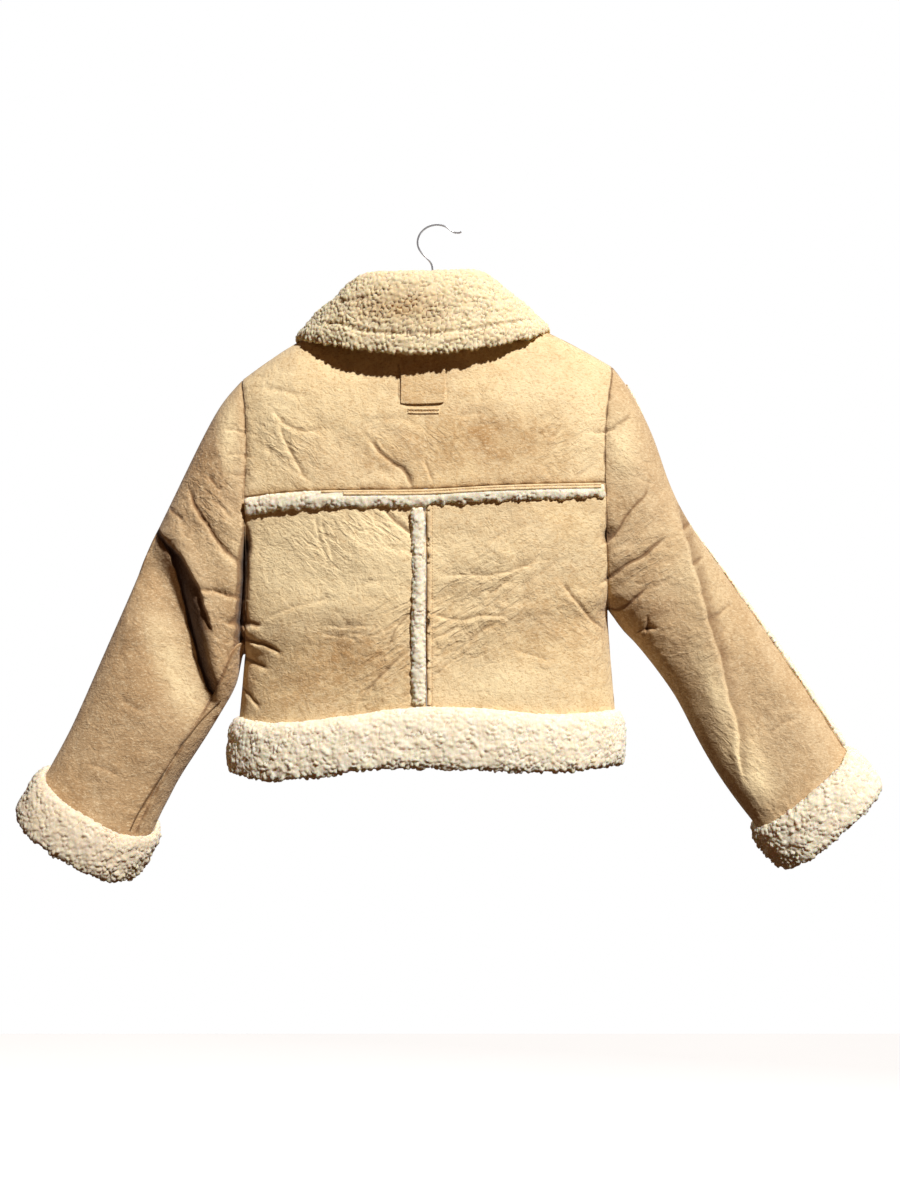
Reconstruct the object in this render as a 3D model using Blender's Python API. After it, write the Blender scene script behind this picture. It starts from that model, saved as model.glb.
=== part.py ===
"""A cropped faux shearling coat, hung by the hook of a plain hanger.

Frame: the origin is the inside top of the hook, +X runs to the wearer's right,
+Y out of the coat's front and +Z up. Tables and constants are in millimetres,
and the meshes are made in metres.
"""

import math
from collections import namedtuple

import bpy
from mathutils import Vector
from mathutils.bvhtree import BVHTree

MM = 0.001

# ---------------------------------------------------------------- driving sizes
WALL = 5.0             # bonded suede and sherpa cloth
SEAM_GAP = 0.3         # between two pieces at a seam
LIFT = 0.45            # between a panel and what lies on it
ARM_STRIP_LIFT = 1.1   # the same for the sleeve strips, which lie on a tighter curve
FRONT_OPENING = 5.0    # between the two front edges
FLAT_TOP = 2.6         # power that squares off the body and sleeve sections

# The body's two side outlines, and the depth of its back and front at the middle.
Body = namedtuple("Body", "z left right back front")
BODY = (
    Body(-175, -232, 211, 60, 70),
    Body(-233, -226, 202, 68, 78),
    Body(-281, -224, 200, 73, 80),
    Body(-335, -227, 202, 76, 80),
    Body(-425, -224, 204, 74, 78),
    Body(-521, -230, 210, 70, 74),
    Body(-590, -236, 216, 68, 71),
    Body(-660, -242, 218, 70, 72),
)

# The shoulder seam from tip to tip, where it is not part of the neckline.
Shoulder = namedtuple("Shoulder", "x z")
SHOULDER_LEFT = (
    Shoulder(-232, -185), Shoulder(-209, -168), Shoulder(-167, -140), Shoulder(-108, -112),
)
SHOULDER_RIGHT = (
    Shoulder(76, -105), Shoulder(137, -129), Shoulder(185, -154), Shoulder(211, -169),
)

NECK_CENTRE = -16.0    # middle of the neckline
NECK_HALF_WIDTH = 92.0
NECK_BACK_DEPTH, NECK_BACK_DROP = 58.0, 20.0
NECK_FRONT_DEPTH, NECK_FRONT_DROP = 76.0, 80.0
NECK_STEPS = 8         # columns across the neckline

ARMPIT_LEFT, ARMPIT_RIGHT = -515.0, -463.0
ARMHOLE_DEPTH = 50.0   # half the armhole's width, back to front
SIDE_BLEND = 80.0      # how far above the armpit the side seam's sharp edge begins to open
SHOULDER_ROUND = 85.0  # how far below the shoulder seam the body turns over
ROUND_POWER = 2.0      # how fully it turns over, 2 being a quarter circle
NECK_ROUND_POWER = 1.2
NECK_BLEND = 60.0      # how far from the neckline the fuller turn takes over

# Heights where the yoke seam, the armpit and the hem band read how far across they are.
YOKE_LEVEL, PIT_LEVEL, BAND_TOP_LEVEL, BAND_EDGE_LEVEL = -320.0, -480.0, -590.0, -650.0
CLOTH_END = 3.0        # the cloth stops this far above the hem band's lower edge

Seam = namedtuple("Seam", "x z")
YOKE_SEAM = (
    Seam(-227, -328), Seam(-163, -321), Seam(-16, -319), Seam(77, -314), Seam(202, -310),
)

# The sherpa hem band's upper and lower edge across the back.
Hem = namedtuple("Hem", "x top bottom")
HEM_BACK = (
    Hem(-238, -588, -656), Hem(-190, -594, -663), Hem(-137, -589, -657), Hem(-86, -581, -648),
    Hem(-12, -573, -645), Hem(66, -576, -648), Hem(133, -583, -651), Hem(214, -579, -645),
)
HEM_FRONT = (
    Hem(-238, -588, -656), Hem(-120, -588, -656), Hem(-12, -584, -652), Hem(120, -584, -652),
    Hem(214, -579, -645),
)

# Where rows of points lie, as shares of the way down each stretch of the body.
YOKE_ROWS = (0, 0.035, 0.11, 0.23, 0.39, 0.58, 0.79, 1)
SIDE_ROWS = (0.28, 0.54, 0.76, 0.92, 1)
LOWER_ROWS = (0.33, 0.67, 1)
HEM_ROWS = (0.33, 0.67, 1)
SHOULDER_COLUMNS = (0, 0.06, 0.19, 0.37, 0.57, 0.78, 1)

# Soft folds of the body: a line from (x, z) to (x_end, z_end), pushed in where depth is above 0.
Fold = namedtuple("Fold", "x z x_end z_end depth width")
BACK_FOLDS = (
    Fold(-208, -392, -100, -420, 3.5, 24), Fold(-190, -470, -60, -440, -3.0, 30),
    Fold(-205, -540, -90, -505, 3.0, 26), Fold(-95, -340, -70, -560, -2.5, 34),
    Fold(15, -350, 30, -560, 2.5, 30), Fold(120, -350, 60, -520, -3.0, 34),
    Fold(90, -545, 190, -420, 3.0, 26), Fold(-150, -200, -60, -305, 3.0, 24),
    Fold(150, -190, 95, -300, -3.0, 28), Fold(190, -420, 150, -560, -2.5, 26),
)
FRONT_FOLDS = (
    Fold(-190, -400, -80, -440, 3.0, 28), Fold(-200, -520, -90, -480, -3.0, 30),
    Fold(180, -400, 70, -450, 3.0, 28), Fold(185, -530, 80, -500, -3.0, 30),
    Fold(-120, -280, -90, -560, -2.5, 34), Fold(110, -280, 85, -560, 2.5, 34),
)

# A sleeve's outer (overarm) and inner (underarm) outline, its depth behind and in front of
# the arm's middle, and how far the overarm seam is turned towards the back, in degrees.
Arm = namedtuple("Arm", "step x_out z_out x_in z_in back front turn")
SLEEVE_LEFT = (
    Arm(0, -232, -185, -231, -515, 50, 50, 0),
    Arm(1, -259, -214, -233, -526, 50, 50, -6),
    Arm(2, -288, -268, -235, -538, 48, 49, -12),
    Arm(3, -318, -329, -238, -552, 46, 47, -14),
    Arm(4, -344, -383, -245, -567, 44, 45, -14),
    Arm(5, -367, -437, -256, -585, 43, 44, -14),
    Arm(6, -391, -491, -272, -611, 41, 42, -14),
    Arm(7, -415, -545, -291, -640, 39, 40, -14),
    Arm(8, -439, -599, -312, -672, 37, 38, -14),
    Arm(9, -468, -652, -338, -727, 36, 37, -14),
)
SLEEVE_RIGHT = (
    Arm(0, 211, -169, 206, -463, 50, 50, 0),
    Arm(1, 232, -194, 211, -470, 50, 50, -8),
    Arm(2, 259, -246, 217, -477, 48, 49, -16),
    Arm(3, 280, -306, 226, -488, 46, 47, -18),
    Arm(4, 302, -350, 238, -501, 44, 45, -14),
    Arm(5, 338, -402, 252, -519, 43, 44, -8),
    Arm(6, 374, -455, 269, -541, 41, 42, 0),
    Arm(7, 415, -512, 291, -573, 39, 40, 6),
    Arm(8, 452, -566, 313, -618, 37, 38, 10),
    Arm(8.5, 474, -598, 343, -670, 37, 38, 11),
    Arm(9, 493, -627, 383, -721, 36, 37, 12),
)
ARM_STEPS = (
    0, 0.45, 1, 1.6, 2.1, 2.5, 2.85, 3.2, 3.55, 3.9, 4.25, 4.6, 4.95, 5.3, 5.7, 6.2, 6.8, 7.4, 8, 8.5, 9,
)
CUFF_RINGS = (0.34, 0.68, 1)   # shares of the cuff's height
CUFF_HEIGHT = 58.0
CUFF_DIP = {"left": 20.0, "right": 9.0}   # each sleeve's end is this much longer behind than in front
SLEEVE_SWING = 14.0            # how far the cuffs hang forward
ARM_SIDE = 12                  # columns of points from the overarm to the underarm outline

# A sleeve fold's crest: steps along it from the overarm to the underarm side.
Crest = namedtuple("Crest", "x z drop")
CREST_LEFT = (
    Crest(-331, -364, 5), Crest(-313, -386, 18), Crest(-288, -430, 25), Crest(-278, -469, 26),
    Crest(-266, -520, 24), Crest(-257, -556, 17), Crest(-247, -570, 6),
)
CREST_RIGHT = (
    Crest(294, -330, 3), Crest(306, -392, 9), Crest(318, -449, 13), Crest(331, -510, 13),
    Crest(345, -575, 12), Crest(360, -630, 9), Crest(376, -690, 3),
)
CREST_LIP = 3.0        # the crest stands this proud of the sleeve
LIP_BACK, LIP_WIDTH, LIP_FULL_DROP = 8.0, 16.0, 10.0
CREST_FALL = {"left": (18, 44), "right": (22, 62)}   # widths of its steep side and of the soft rise after it

# The collar by the angle round the neck, 0 at centre back: fold height above the neckline,
# the outer edge's reach out and up from the neckline, and how far it sweeps to the side.
Collar = namedtuple("Collar", "angle fold reach rise sweep")
COLLAR = (
    Collar(0, 62, 26, -35, 0), Collar(25, 61.5, 30, -32, 0), Collar(45, 57, 40, -29, 0),
    Collar(65, 36, 52, -25, 0), Collar(90, 27, 62, -24, 0), Collar(110, 25, 61, -27, 0),
    Collar(135, 22, 50, -43, 12), Collar(155, 18, 35, -54, 26), Collar(180, 15, 24, -54, 40),
)
COLLAR_THICK = 10.5
COLLAR_TURN = 8.0      # radius of the collar's fold
COLLAR_GROOVE = 2.0    # depth of the sewn channel along the fall
COLLAR_SEAM = 0.9      # from the neckline's edge, which twists between its points
COLLAR_REST = 3.8      # the fall lies at least this far clear of the cloth under it

COLLAR_STAND = (WALL, 6.0, 9.0, COLLAR_THICK)   # its thickness up the stand
COLLAR_RIB = 1.0       # the fall is this much thicker beside the channel
COLLAR_EDGE = 6.0      # thickness at the fall's edge
FALL_SHARES = (0.2, 0.45, 0.68, 0.86, 1)        # the third is the channel
FOLD_TURNS = (45, 90, 135, 180)

BAND_THICK = 14.0      # sherpa hem band
CUFF_THICK = 12.5
BAND_TUCK = 0.12       # the bands run this share of a row past the cloth's edge
STRIP_THICK = 6.0      # raw sherpa edges
YOKE_STRIP_WIDTH, BACK_STRIP_WIDTH = 18.0, 17.0
ARM_STRIPS = {"left": (22.2, 23.5), "right": (22.5, 24.0)}   # between which columns of the sleeve
ARM_STRIP_START = 1.5  # rings below the armhole
PATCH_THICK = 1.2
PATCH_ROWS = (2.8, 4.45)
PATCH_COLUMNS = (-1.25, 0.93)   # from the middle column

# The wire hook's middle line, from the bar up its shank, over the top and out to its tip.
Hook = namedtuple("Hook", "x z")
HOOK = (
    Hook(-4, -87.7), Hook(-4, -70), Hook(-3.8, -54), Hook(-5.5, -45), Hook(-11.5, -38), Hook(-18, -31.5),
    Hook(-22, -22.5), Hook(-20.6, -12.5), Hook(-15, -5), Hook(-7.5, -0.4), Hook(1.5, 1.3), Hook(10.5, -0.2),
    Hook(16.5, -4), Hook(22, -8), Hook(28, -8.4), Hook(31, -7),
)

HANGER_TOP_GAP = 2.0    # between the bar and the cloth over it
HANGER_HUMP = (0.2, 0.4, 0.6, 0.8)   # stations from the hook to the neckline
HANGER_TIP = 0.6        # the bar's ends are this much slimmer
HANGER_WIDE, HANGER_TALL = 12.0, 20.0
HANGER_PEAK = -88.0    # top of the hanger under its hook
HOOK_WIRE = 2.6        # diameter
HOOK_X = -4.0

SUEDE = (0.60, 0.42, 0.24, 1)
SHERPA = (0.86, 0.76, 0.58, 1)
CHROME = (0.78, 0.78, 0.80, 1)
BAR_CLEAR = (0.70, 0.71, 0.72, 1)


# ---------------------------------------------------------------- curves from tables
def through(rows, across, up):
    """A smooth curve through one column of a table, read against another."""
    knots = sorted((getattr(row, across), getattr(row, up)) for row in rows)
    xs = [knot[0] for knot in knots]
    ys = [knot[1] for knot in knots]
    last = len(xs) - 1
    slopes = []
    for i in range(last + 1):
        a, b = max(i - 1, 0), min(i + 1, last)
        slopes.append((ys[b] - ys[a]) / (xs[b] - xs[a]))

    def value(x):
        x = min(max(x, xs[0]), xs[-1])
        i = min(max(sum(1 for knot in xs if knot <= x) - 1, 0), last - 1)
        span = xs[i + 1] - xs[i]
        t = (x - xs[i]) / span
        return (
            ys[i] * (2 * t**3 - 3 * t**2 + 1) + slopes[i] * span * (t**3 - 2 * t**2 + t)
            + ys[i + 1] * (3 * t**2 - 2 * t**3) + slopes[i + 1] * span * (t**3 - t**2)
        )

    return value


def mix(a, b, share):
    return a + (b - a) * share


def smooth(t, a, b, c, d):
    """A smooth curve from b to c, with a before it and d after it."""
    return b + t / 2 * (c - a + t * (2 * a - 5 * b + 4 * c - d + t * (3 * (b - c) + d - a)))


def ease(value, low, high):
    t = min(max((value - low) / (high - low), 0), 1)
    return t * t * (3 - 2 * t)


def squared(u):
    """Height of a squared-off half circle at u, from -1 to 1."""
    return max(1 - abs(u) ** FLAT_TOP, 0)


def fold_push(folds, x, z):
    """How far a table's folds push the cloth in at a point."""
    total = 0
    for fold in folds:
        run = Vector((fold.x_end - fold.x, fold.z_end - fold.z))
        here = Vector((x - fold.x, z - fold.z))
        along = here.dot(run) / run.length_squared
        across = abs(here.x * run.y - here.y * run.x) / run.length
        fade = ease(along, -0.15, 0.25) * (1 - ease(along, 0.75, 1.15))
        total += fold.depth * fade * math.exp(-((across / fold.width) ** 2))
    return total


def crest_push(crest, x, z, side, steep, soft):
    """How far the cloth beside a sleeve fold's crest drops: sharply at it, softly away from it."""
    best = None
    for a, b in zip(crest, crest[1:]):
        run = Vector((b.x - a.x, b.z - a.z))
        here = Vector((x - a.x, z - a.z))
        t = min(max(here.dot(run) / run.length_squared, 0), 1)
        away = here - run * t
        if best is None or away.length < abs(best[0]):
            turned = run.x * here.y - run.y * here.x
            best = (math.copysign(away.length, turned * side), mix(a.drop, b.drop, t))
    distance, drop = best
    lip = -CREST_LIP * min(drop / LIP_FULL_DROP, 1) * math.exp(-(((distance + LIP_BACK) / LIP_WIDTH) ** 2))
    if distance < 0:
        return lip
    return lip + drop * ease(distance, 0, steep) * math.exp(-((max(distance - steep, 0) / soft) ** 2))


# ---------------------------------------------------------------- the coat's outer surface
class Shell:
    """Points that pieces share along their seams, with the quads that each piece covers."""

    def __init__(self):
        self.points = []
        self.pieces = {}

    def point(self, x, y, z):
        self.points.append(Vector((x, y, z)))
        return len(self.points) - 1

    def quad(self, piece, corners, flip=False):
        """Each quad is split from its first corner to its third, whichever way it faces."""
        a, b, c, d = corners
        self.pieces.setdefault(piece, []).append((c, b, a, d) if flip else corners)

    def work_out_normals(self):
        self.normals = [Vector() for _ in self.points]
        for quads in self.pieces.values():
            for a, b, c, d in quads:
                face = (self.points[c] - self.points[a]).cross(self.points[d] - self.points[b])
                for corner in (a, b, c, d):
                    self.normals[corner] += face
        for normal in self.normals:
            normal.normalize()


def shoulder_height(x):
    table = SHOULDER_LEFT if x < NECK_CENTRE else SHOULDER_RIGHT
    return through(table, "x", "z")(x)


body_left = through(BODY, "z", "left")
body_right = through(BODY, "z", "right")
body_depth = {"back": through(BODY, "z", "back"), "front": through(BODY, "z", "front")}
yoke_line = through(YOKE_SEAM, "x", "z")
hem_top = {"back": through(HEM_BACK, "x", "top"), "front": through(HEM_FRONT, "x", "top")}
hem_bottom = {"back": through(HEM_BACK, "x", "bottom"), "front": through(HEM_FRONT, "x", "bottom")}


def top_columns(sheet):
    """(x, y, z) along a sheet's upper edge: shoulder seam, neckline, shoulder seam."""
    edge = []
    tip, neck = SHOULDER_LEFT[0].x, SHOULDER_LEFT[-1].x
    for share in SHOULDER_COLUMNS[:-1]:
        x = mix(tip, neck, share)
        edge.append((x, 0, shoulder_height(x)))
    depth, drop, power = {
        "back": (-NECK_BACK_DEPTH, NECK_BACK_DROP, 1.2),
        "front": (NECK_FRONT_DEPTH, NECK_FRONT_DROP, 1.5),
    }[sheet]
    for step in range(NECK_STEPS + 1):
        turn = math.pi * (step / NECK_STEPS - 0.5)
        line = mix(SHOULDER_LEFT[-1].z, SHOULDER_RIGHT[0].z, step / NECK_STEPS)
        forward = max(math.cos(turn), 0)
        x = NECK_CENTRE + NECK_HALF_WIDTH * math.sin(turn)
        edge.append((x, depth * forward, line - drop * forward**power))
    tip, neck = SHOULDER_RIGHT[-1].x, SHOULDER_RIGHT[0].x
    for share in SHOULDER_COLUMNS[-2::-1]:
        x = mix(tip, neck, share)
        edge.append((x, 0, shoulder_height(x)))
    return edge


def column_shares(edge):
    """Each column's place across the body: at the top edge, and lower down."""
    width = edge[-1][0] - edge[0][0]
    top = [(x - edge[0][0]) / width for x, _, _ in edge]
    first = len(SHOULDER_COLUMNS) - 1
    last = first + NECK_STEPS
    low = list(top)
    for i in range(first, last + 1):
        low[i] = mix(top[first], 1 - top[first], (i - first) / NECK_STEPS)
    for i in range(first):
        low[len(top) - 1 - i] = 1 - low[i]
    return top, low


def row_heights(sheet, top_z, x_of):
    """The rows of one column, from its upper edge to the cloth's lower edge, as (kind, share, z)."""
    rows = []
    yoke = yoke_line(x_of(YOKE_LEVEL))
    for share in YOKE_ROWS:
        rows.append(("yoke", share, mix(top_z, yoke, share)))
    left, right = body_left(PIT_LEVEL), body_right(PIT_LEVEL)
    place = (x_of(PIT_LEVEL) - left) / (right - left)
    armpit = mix(ARMPIT_LEFT, ARMPIT_RIGHT, place)
    for share in SIDE_ROWS:
        rows.append(("side", share, mix(yoke, armpit, share)))
    band = hem_top[sheet](x_of(BAND_TOP_LEVEL))
    for share in LOWER_ROWS:
        rows.append(("lower", share, mix(armpit, band, share)))
    edge = hem_bottom[sheet](x_of(BAND_EDGE_LEVEL)) + CLOTH_END
    for share in HEM_ROWS:
        rows.append(("hem", share, mix(band, edge, share)))
    return rows


def armhole_half_depth(z, tip, armpit):
    down = (tip - z) / (tip - armpit)
    return ARMHOLE_DEPTH * math.sqrt(squared(2 * down - 1)) if 0 < down < 1 else 0.0


def body_point(sheet, kind, share, z, u, edge_point, z_left, z_right):
    """One point of the body's back or front: (x, y, z) at share u across it."""
    x = mix(body_left(z_left), body_right(z_right), u)
    top_x, top_y, top_z = edge_point
    if kind == "yoke":
        x = mix(top_x, x, ease(share, 0, 0.16))
    tip = mix(SHOULDER_LEFT[0].z, SHOULDER_RIGHT[-1].z, u)
    armpit = mix(ARMPIT_LEFT, ARMPIT_RIGHT, u)
    z_edge = mix(z_left, z_right, u)
    below = max(top_z - z, 0.01)
    near_neck = ease(NECK_HALF_WIDTH - abs(top_x - NECK_CENTRE), -NECK_BLEND, 0)
    over = mix(ROUND_POWER, NECK_ROUND_POWER, near_neck)
    turn = (1 - (1 - min(below / SHOULDER_ROUND, 1)) ** over) ** (1 / over)
    edge_below = max(tip - z_edge, 0.01)
    edge_turn = math.sqrt(1 - (1 - min(edge_below / SHOULDER_ROUND, 1)) ** 2)
    hole = armhole_half_depth(tip - edge_below, tip, armpit) / edge_turn
    power = 0.5 + 0.5 * ease(z_edge - armpit, 0, SIDE_BLEND)
    depth = body_depth[sheet](z)
    across = squared(2 * u - 1) ** power
    y = abs(top_y) * (1 - turn) + (hole + (depth - hole) * across) * turn
    folds = BACK_FOLDS if sheet == "back" else FRONT_FOLDS
    y -= fold_push(folds, x, z) * min(across * 2, 1) * ease(below, 20, 60)
    return x, (-y if sheet == "back" else y), z


def body_grid(shell, sheet, shared):
    """The sheet's points by row and column. Points on the side and shoulder seams come from shared."""
    edge = top_columns(sheet)
    top, low = column_shares(edge)
    middle = len(edge) // 2
    columns = list(range(len(edge)))
    if sheet == "front":
        columns.insert(middle, middle)
    rows = len(YOKE_ROWS) + len(SIDE_ROWS) + len(LOWER_ROWS) + len(HEM_ROWS)
    left = row_heights(sheet, SHOULDER_LEFT[0].z, body_left)
    right = row_heights(sheet, SHOULDER_RIGHT[-1].z, body_right)
    grid = [[None] * len(columns) for _ in range(rows)]
    armpit_row = len(YOKE_ROWS) + len(SIDE_ROWS) - 1
    neck_first = len(SHOULDER_COLUMNS) - 1
    for c, column in enumerate(columns):
        def x_of(z, column=column):
            return mix(body_left(z), body_right(z), low[column])

        heights = row_heights(sheet, edge[column][2], x_of)
        for r, (kind, share, z) in enumerate(heights):
            u = mix(top[column], low[column], ease(r, 0, 3))
            if column in (0, len(edge) - 1):
                z = (left if column == 0 else right)[r][2]
            x, y, z = body_point(sheet, kind, share, z, u, edge[column], left[r][2], right[r][2])
            if sheet == "front" and column == middle:
                x += FRONT_OPENING / 2 * (1 if c > middle else -1)
            on_side = column in (0, len(edge) - 1) and r >= armpit_row
            on_shoulder = r == 0 and not neck_first < column < neck_first + NECK_STEPS
            if on_side or on_shoulder:
                key = (r, column)
                if key not in shared:
                    shared[key] = shell.point(x, 0 if on_side else y, z)
                grid[r][c] = shared[key]
            else:
                grid[r][c] = shell.point(x, y, z)
    return grid


def sleeve_section(arms, step):
    """The sleeve's outline and depths at a step along it."""
    return {name: through(arms, "step", name)(step) for name in Arm._fields[1:]}


def sleeve_rings(shell, hole, arms, crest, name):
    """Rings of points from the armhole to the cuff's end, from the overarm outline by the back."""
    side = -1 if name == "left" else 1
    steep, soft = CREST_FALL[name]
    rings = [list(hole)]
    around = 2 * ARM_SIDE
    first = sleeve_section(arms, 0)
    drop = first["z_out"] - first["z_in"]
    hole_angles = []
    for j in range(around):
        down = min(max((first["z_out"] - shell.points[hole[j]].z) / drop, 0), 1)
        angle = math.acos(1 - 2 * down)
        hole_angles.append(angle if j <= ARM_SIDE else 2 * math.pi - angle)
    hole_angles[0] = 0
    last = sleeve_section(arms, ARM_STEPS[-1])
    cuff_way = Vector((last["z_in"] - last["z_out"], last["x_out"] - last["x_in"])).normalized()
    if cuff_way.y > 0:
        cuff_way.negate()
    sections = [(step, sleeve_section(arms, step), 0) for step in ARM_STEPS[1:]]
    sections += [(ARM_STEPS[-1], last, share * CUFF_HEIGHT) for share in CUFF_RINGS]
    for step, arm, beyond in sections:
        ring = []
        for j in range(around):
            even = math.pi * j / ARM_SIDE
            share = (1 - math.cos(even)) / 2
            flat = j / ARM_SIDE if j <= ARM_SIDE else 2 - j / ARM_SIDE
            angle = math.acos(1 - (share + flat))
            angle = angle if j <= ARM_SIDE else 2 * math.pi - angle
            angle = mix(hole_angles[j], angle, ease(step, 0, 3)) + math.radians(arm["turn"])
            v = (1 - math.cos(angle)) / 2
            behind = math.sin(angle) > 0
            bulge = math.sqrt(squared(math.cos(angle)))
            past = beyond + CUFF_DIP[name] * ease(step, 5, 9) * (bulge if behind else -bulge)
            x = mix(arm["x_out"], arm["x_in"], v) + cuff_way.x * past
            z = mix(arm["z_out"], arm["z_in"], v) + cuff_way.y * past
            y = bulge * (arm["back"] if behind else arm["front"])
            if behind:
                push = crest_push(crest, x, z, side, steep, soft)
                y -= push * ease(bulge, 0.1, 0.6)
            forward = SLEEVE_SWING * ease(step, 3, 9)
            ring.append(shell.point(x, (-y if behind else y) + forward, z))
        rings.append(ring)
    return rings


# ---------------------------------------------------------------- making solids
def material(name, colour, roughness, metallic=0.0):
    made = bpy.data.materials.new(name)
    made.use_nodes = True
    shader = made.node_tree.nodes["Principled BSDF"]
    shader.inputs["Base Color"].default_value = colour
    shader.inputs["Roughness"].default_value = roughness
    shader.inputs["Metallic"].default_value = metallic
    made.diffuse_color = colour
    return made


def add_object(name, points, faces, made_of):
    mesh = bpy.data.meshes.new(name)
    mesh.from_pydata([point * MM for point in points], [], faces)
    mesh.validate()
    mesh.materials.append(made_of)
    mesh.shade_smooth()
    mesh.set_sharp_from_angle(angle=math.radians(50))
    made = bpy.data.objects.new(name, mesh)
    bpy.context.scene.collection.objects.link(made)
    return made


def wall_piece(shell, piece, made_of):
    """A panel with the cloth's thickness, drawn back from its edges by half the seam gap."""
    quads = shell.pieces[piece]
    used = sorted({corner for quad in quads for corner in quad})
    place = {corner: i for i, corner in enumerate(used)}
    edges = {}
    for quad in quads:
        for a, b in zip(quad, quad[1:] + quad[:1]):
            edges[(a, b)] = quad
    rim = [edge for edge in edges if edge[::-1] not in edges]
    inward = {}
    for a, b in rim:
        p, q, r, s = (shell.points[corner] for corner in edges[(a, b)])
        face = (r - p).cross(s - q).normalized()
        way = face.cross(shell.points[b] - shell.points[a]).normalized()
        inward.setdefault(a, []).append(way)
        inward.setdefault(b, []).append(way)
    outer, inner = [], []
    for corner in used:
        shift = Vector()
        if corner in inward:
            ways = inward[corner]
            together = sum(ways, Vector())
            bend = max(1 + ways[0].dot(ways[-1]), 0.4)
            shift = together / len(ways) * 2 / bend * SEAM_GAP / 2
        outer.append(shell.points[corner] + shift)
        inner.append(shell.points[corner] + shift - shell.normals[corner] * WALL)
    n = len(used)
    faces = []
    for a, b, c, d in quads:
        p, q, r, s = place[a], place[b], place[c], place[d]
        faces += [(p, q, r), (p, r, s), (n + r, n + q, n + p), (n + s, n + r, n + p)]
    for a, b in rim:
        p, q = place[a], place[b]
        if a < b:
            faces += [(q, p, n + p), (q, n + p, n + q)]
        else:
            faces += [(q, p, n + q), (p, n + p, n + q)]
    return add_object(piece, outer + inner, faces, made_of)


def spread(low, high, marks=()):
    """From low to high by way of the marks and of every whole number between."""
    values = {low, high} | {mark for mark in marks if low < mark < high}
    values |= {float(whole) for whole in range(math.ceil(low), math.floor(high) + 1)}
    return sorted(values)


class Cloth:
    """A grid of shell points read at fractional rows and columns; a ring's columns go round."""

    def __init__(self, shell, grid, round_about=False):
        self.shell, self.grid, self.round_about = shell, grid, round_about

    def at(self, row, column):
        across = len(self.grid[0])
        r = min(max(math.floor(row), 0), len(self.grid) - 2)
        c = math.floor(column)
        if not self.round_about:
            c = min(max(c, 0), across - 2)
        down, along = row - r, column - c
        corners = [self.grid[r + i][(c + j) % across] for i, j in ((0, 0), (0, 1), (1, 0), (1, 1))]
        if down > along:
            shares = (1 - down, 0, down - along, along)
        else:
            shares = (1 - along, along - down, 0, down)
        point, normal = Vector(), Vector()
        for corner, share in zip(corners, shares):
            point += self.shell.points[corner] * share
            normal += self.shell.normals[corner] * share
        return point, normal.normalized()


def pad_on(cloth, name, rows, columns, height, made_of, closed=False, lift=LIFT):
    """A solid that lies on a panel: its base is the panel's own points, moved out by the lift."""
    base, crown = [], []
    for row in rows:
        for column in columns:
            point, normal = cloth.at(row, column)
            base.append(point + normal * lift)
            crown.append(point + normal * (lift + height(row, column)))
    across = len(columns)
    n = len(base)
    sheet = []
    for i in range(len(rows) - 1):
        for j in range(across if closed else across - 1):
            k = (j + 1) % across
            sheet.append((i * across + j, (i + 1) * across + j, (i + 1) * across + k, i * across + k))
    edges = {(a, b) for quad in sheet for a, b in zip(quad, quad[1:] + quad[:1])}
    first = sheet[0]
    face = (crown[first[2]] - crown[first[0]]).cross(crown[first[3]] - crown[first[1]])
    if face.dot(crown[first[0]] - base[first[0]]) < 0:
        sheet = [quad[::-1] for quad in sheet]
        edges = {edge[::-1] for edge in edges}
    faces = []
    for a, b, c, d in sheet:
        faces += [(n + a, n + b, n + c), (n + a, n + c, n + d), (c, b, a), (d, c, a)]
    for a, b in edges:
        if (b, a) not in edges:
            faces += [(n + b, n + a, a), (n + b, a, b)]
    return add_object(name, base + crown, faces, made_of)


def rounded(value, low, high, edge, thick):
    """A pad's height: rising over its edge to its full thickness."""
    near = min(value - low, high - value) / edge
    return thick * (0.3 + 0.7 * math.sqrt(1 - (1 - min(max(near, 0), 1)) ** 2))


def loft(name, sections, made_of):
    """Closed rings of points joined along their length and capped at both ends."""
    around = len(sections[0])
    points = [point for section in sections for point in section]
    faces = []
    for i in range(len(sections) - 1):
        for j in range(around):
            k = (j + 1) % around
            a, b = i * around + j, i * around + k
            faces += [(a, b, b + around), (a, b + around, a + around)]
    ends = (list(range(around))[::-1], list(range(len(points) - around, len(points))))
    faces += [tuple(end) for end in ends]
    return add_object(name, points, faces, made_of)


# ---------------------------------------------------------------- the collar
collar_columns = {name: through(COLLAR, "angle", name) for name in Collar._fields[1:]}


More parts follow.
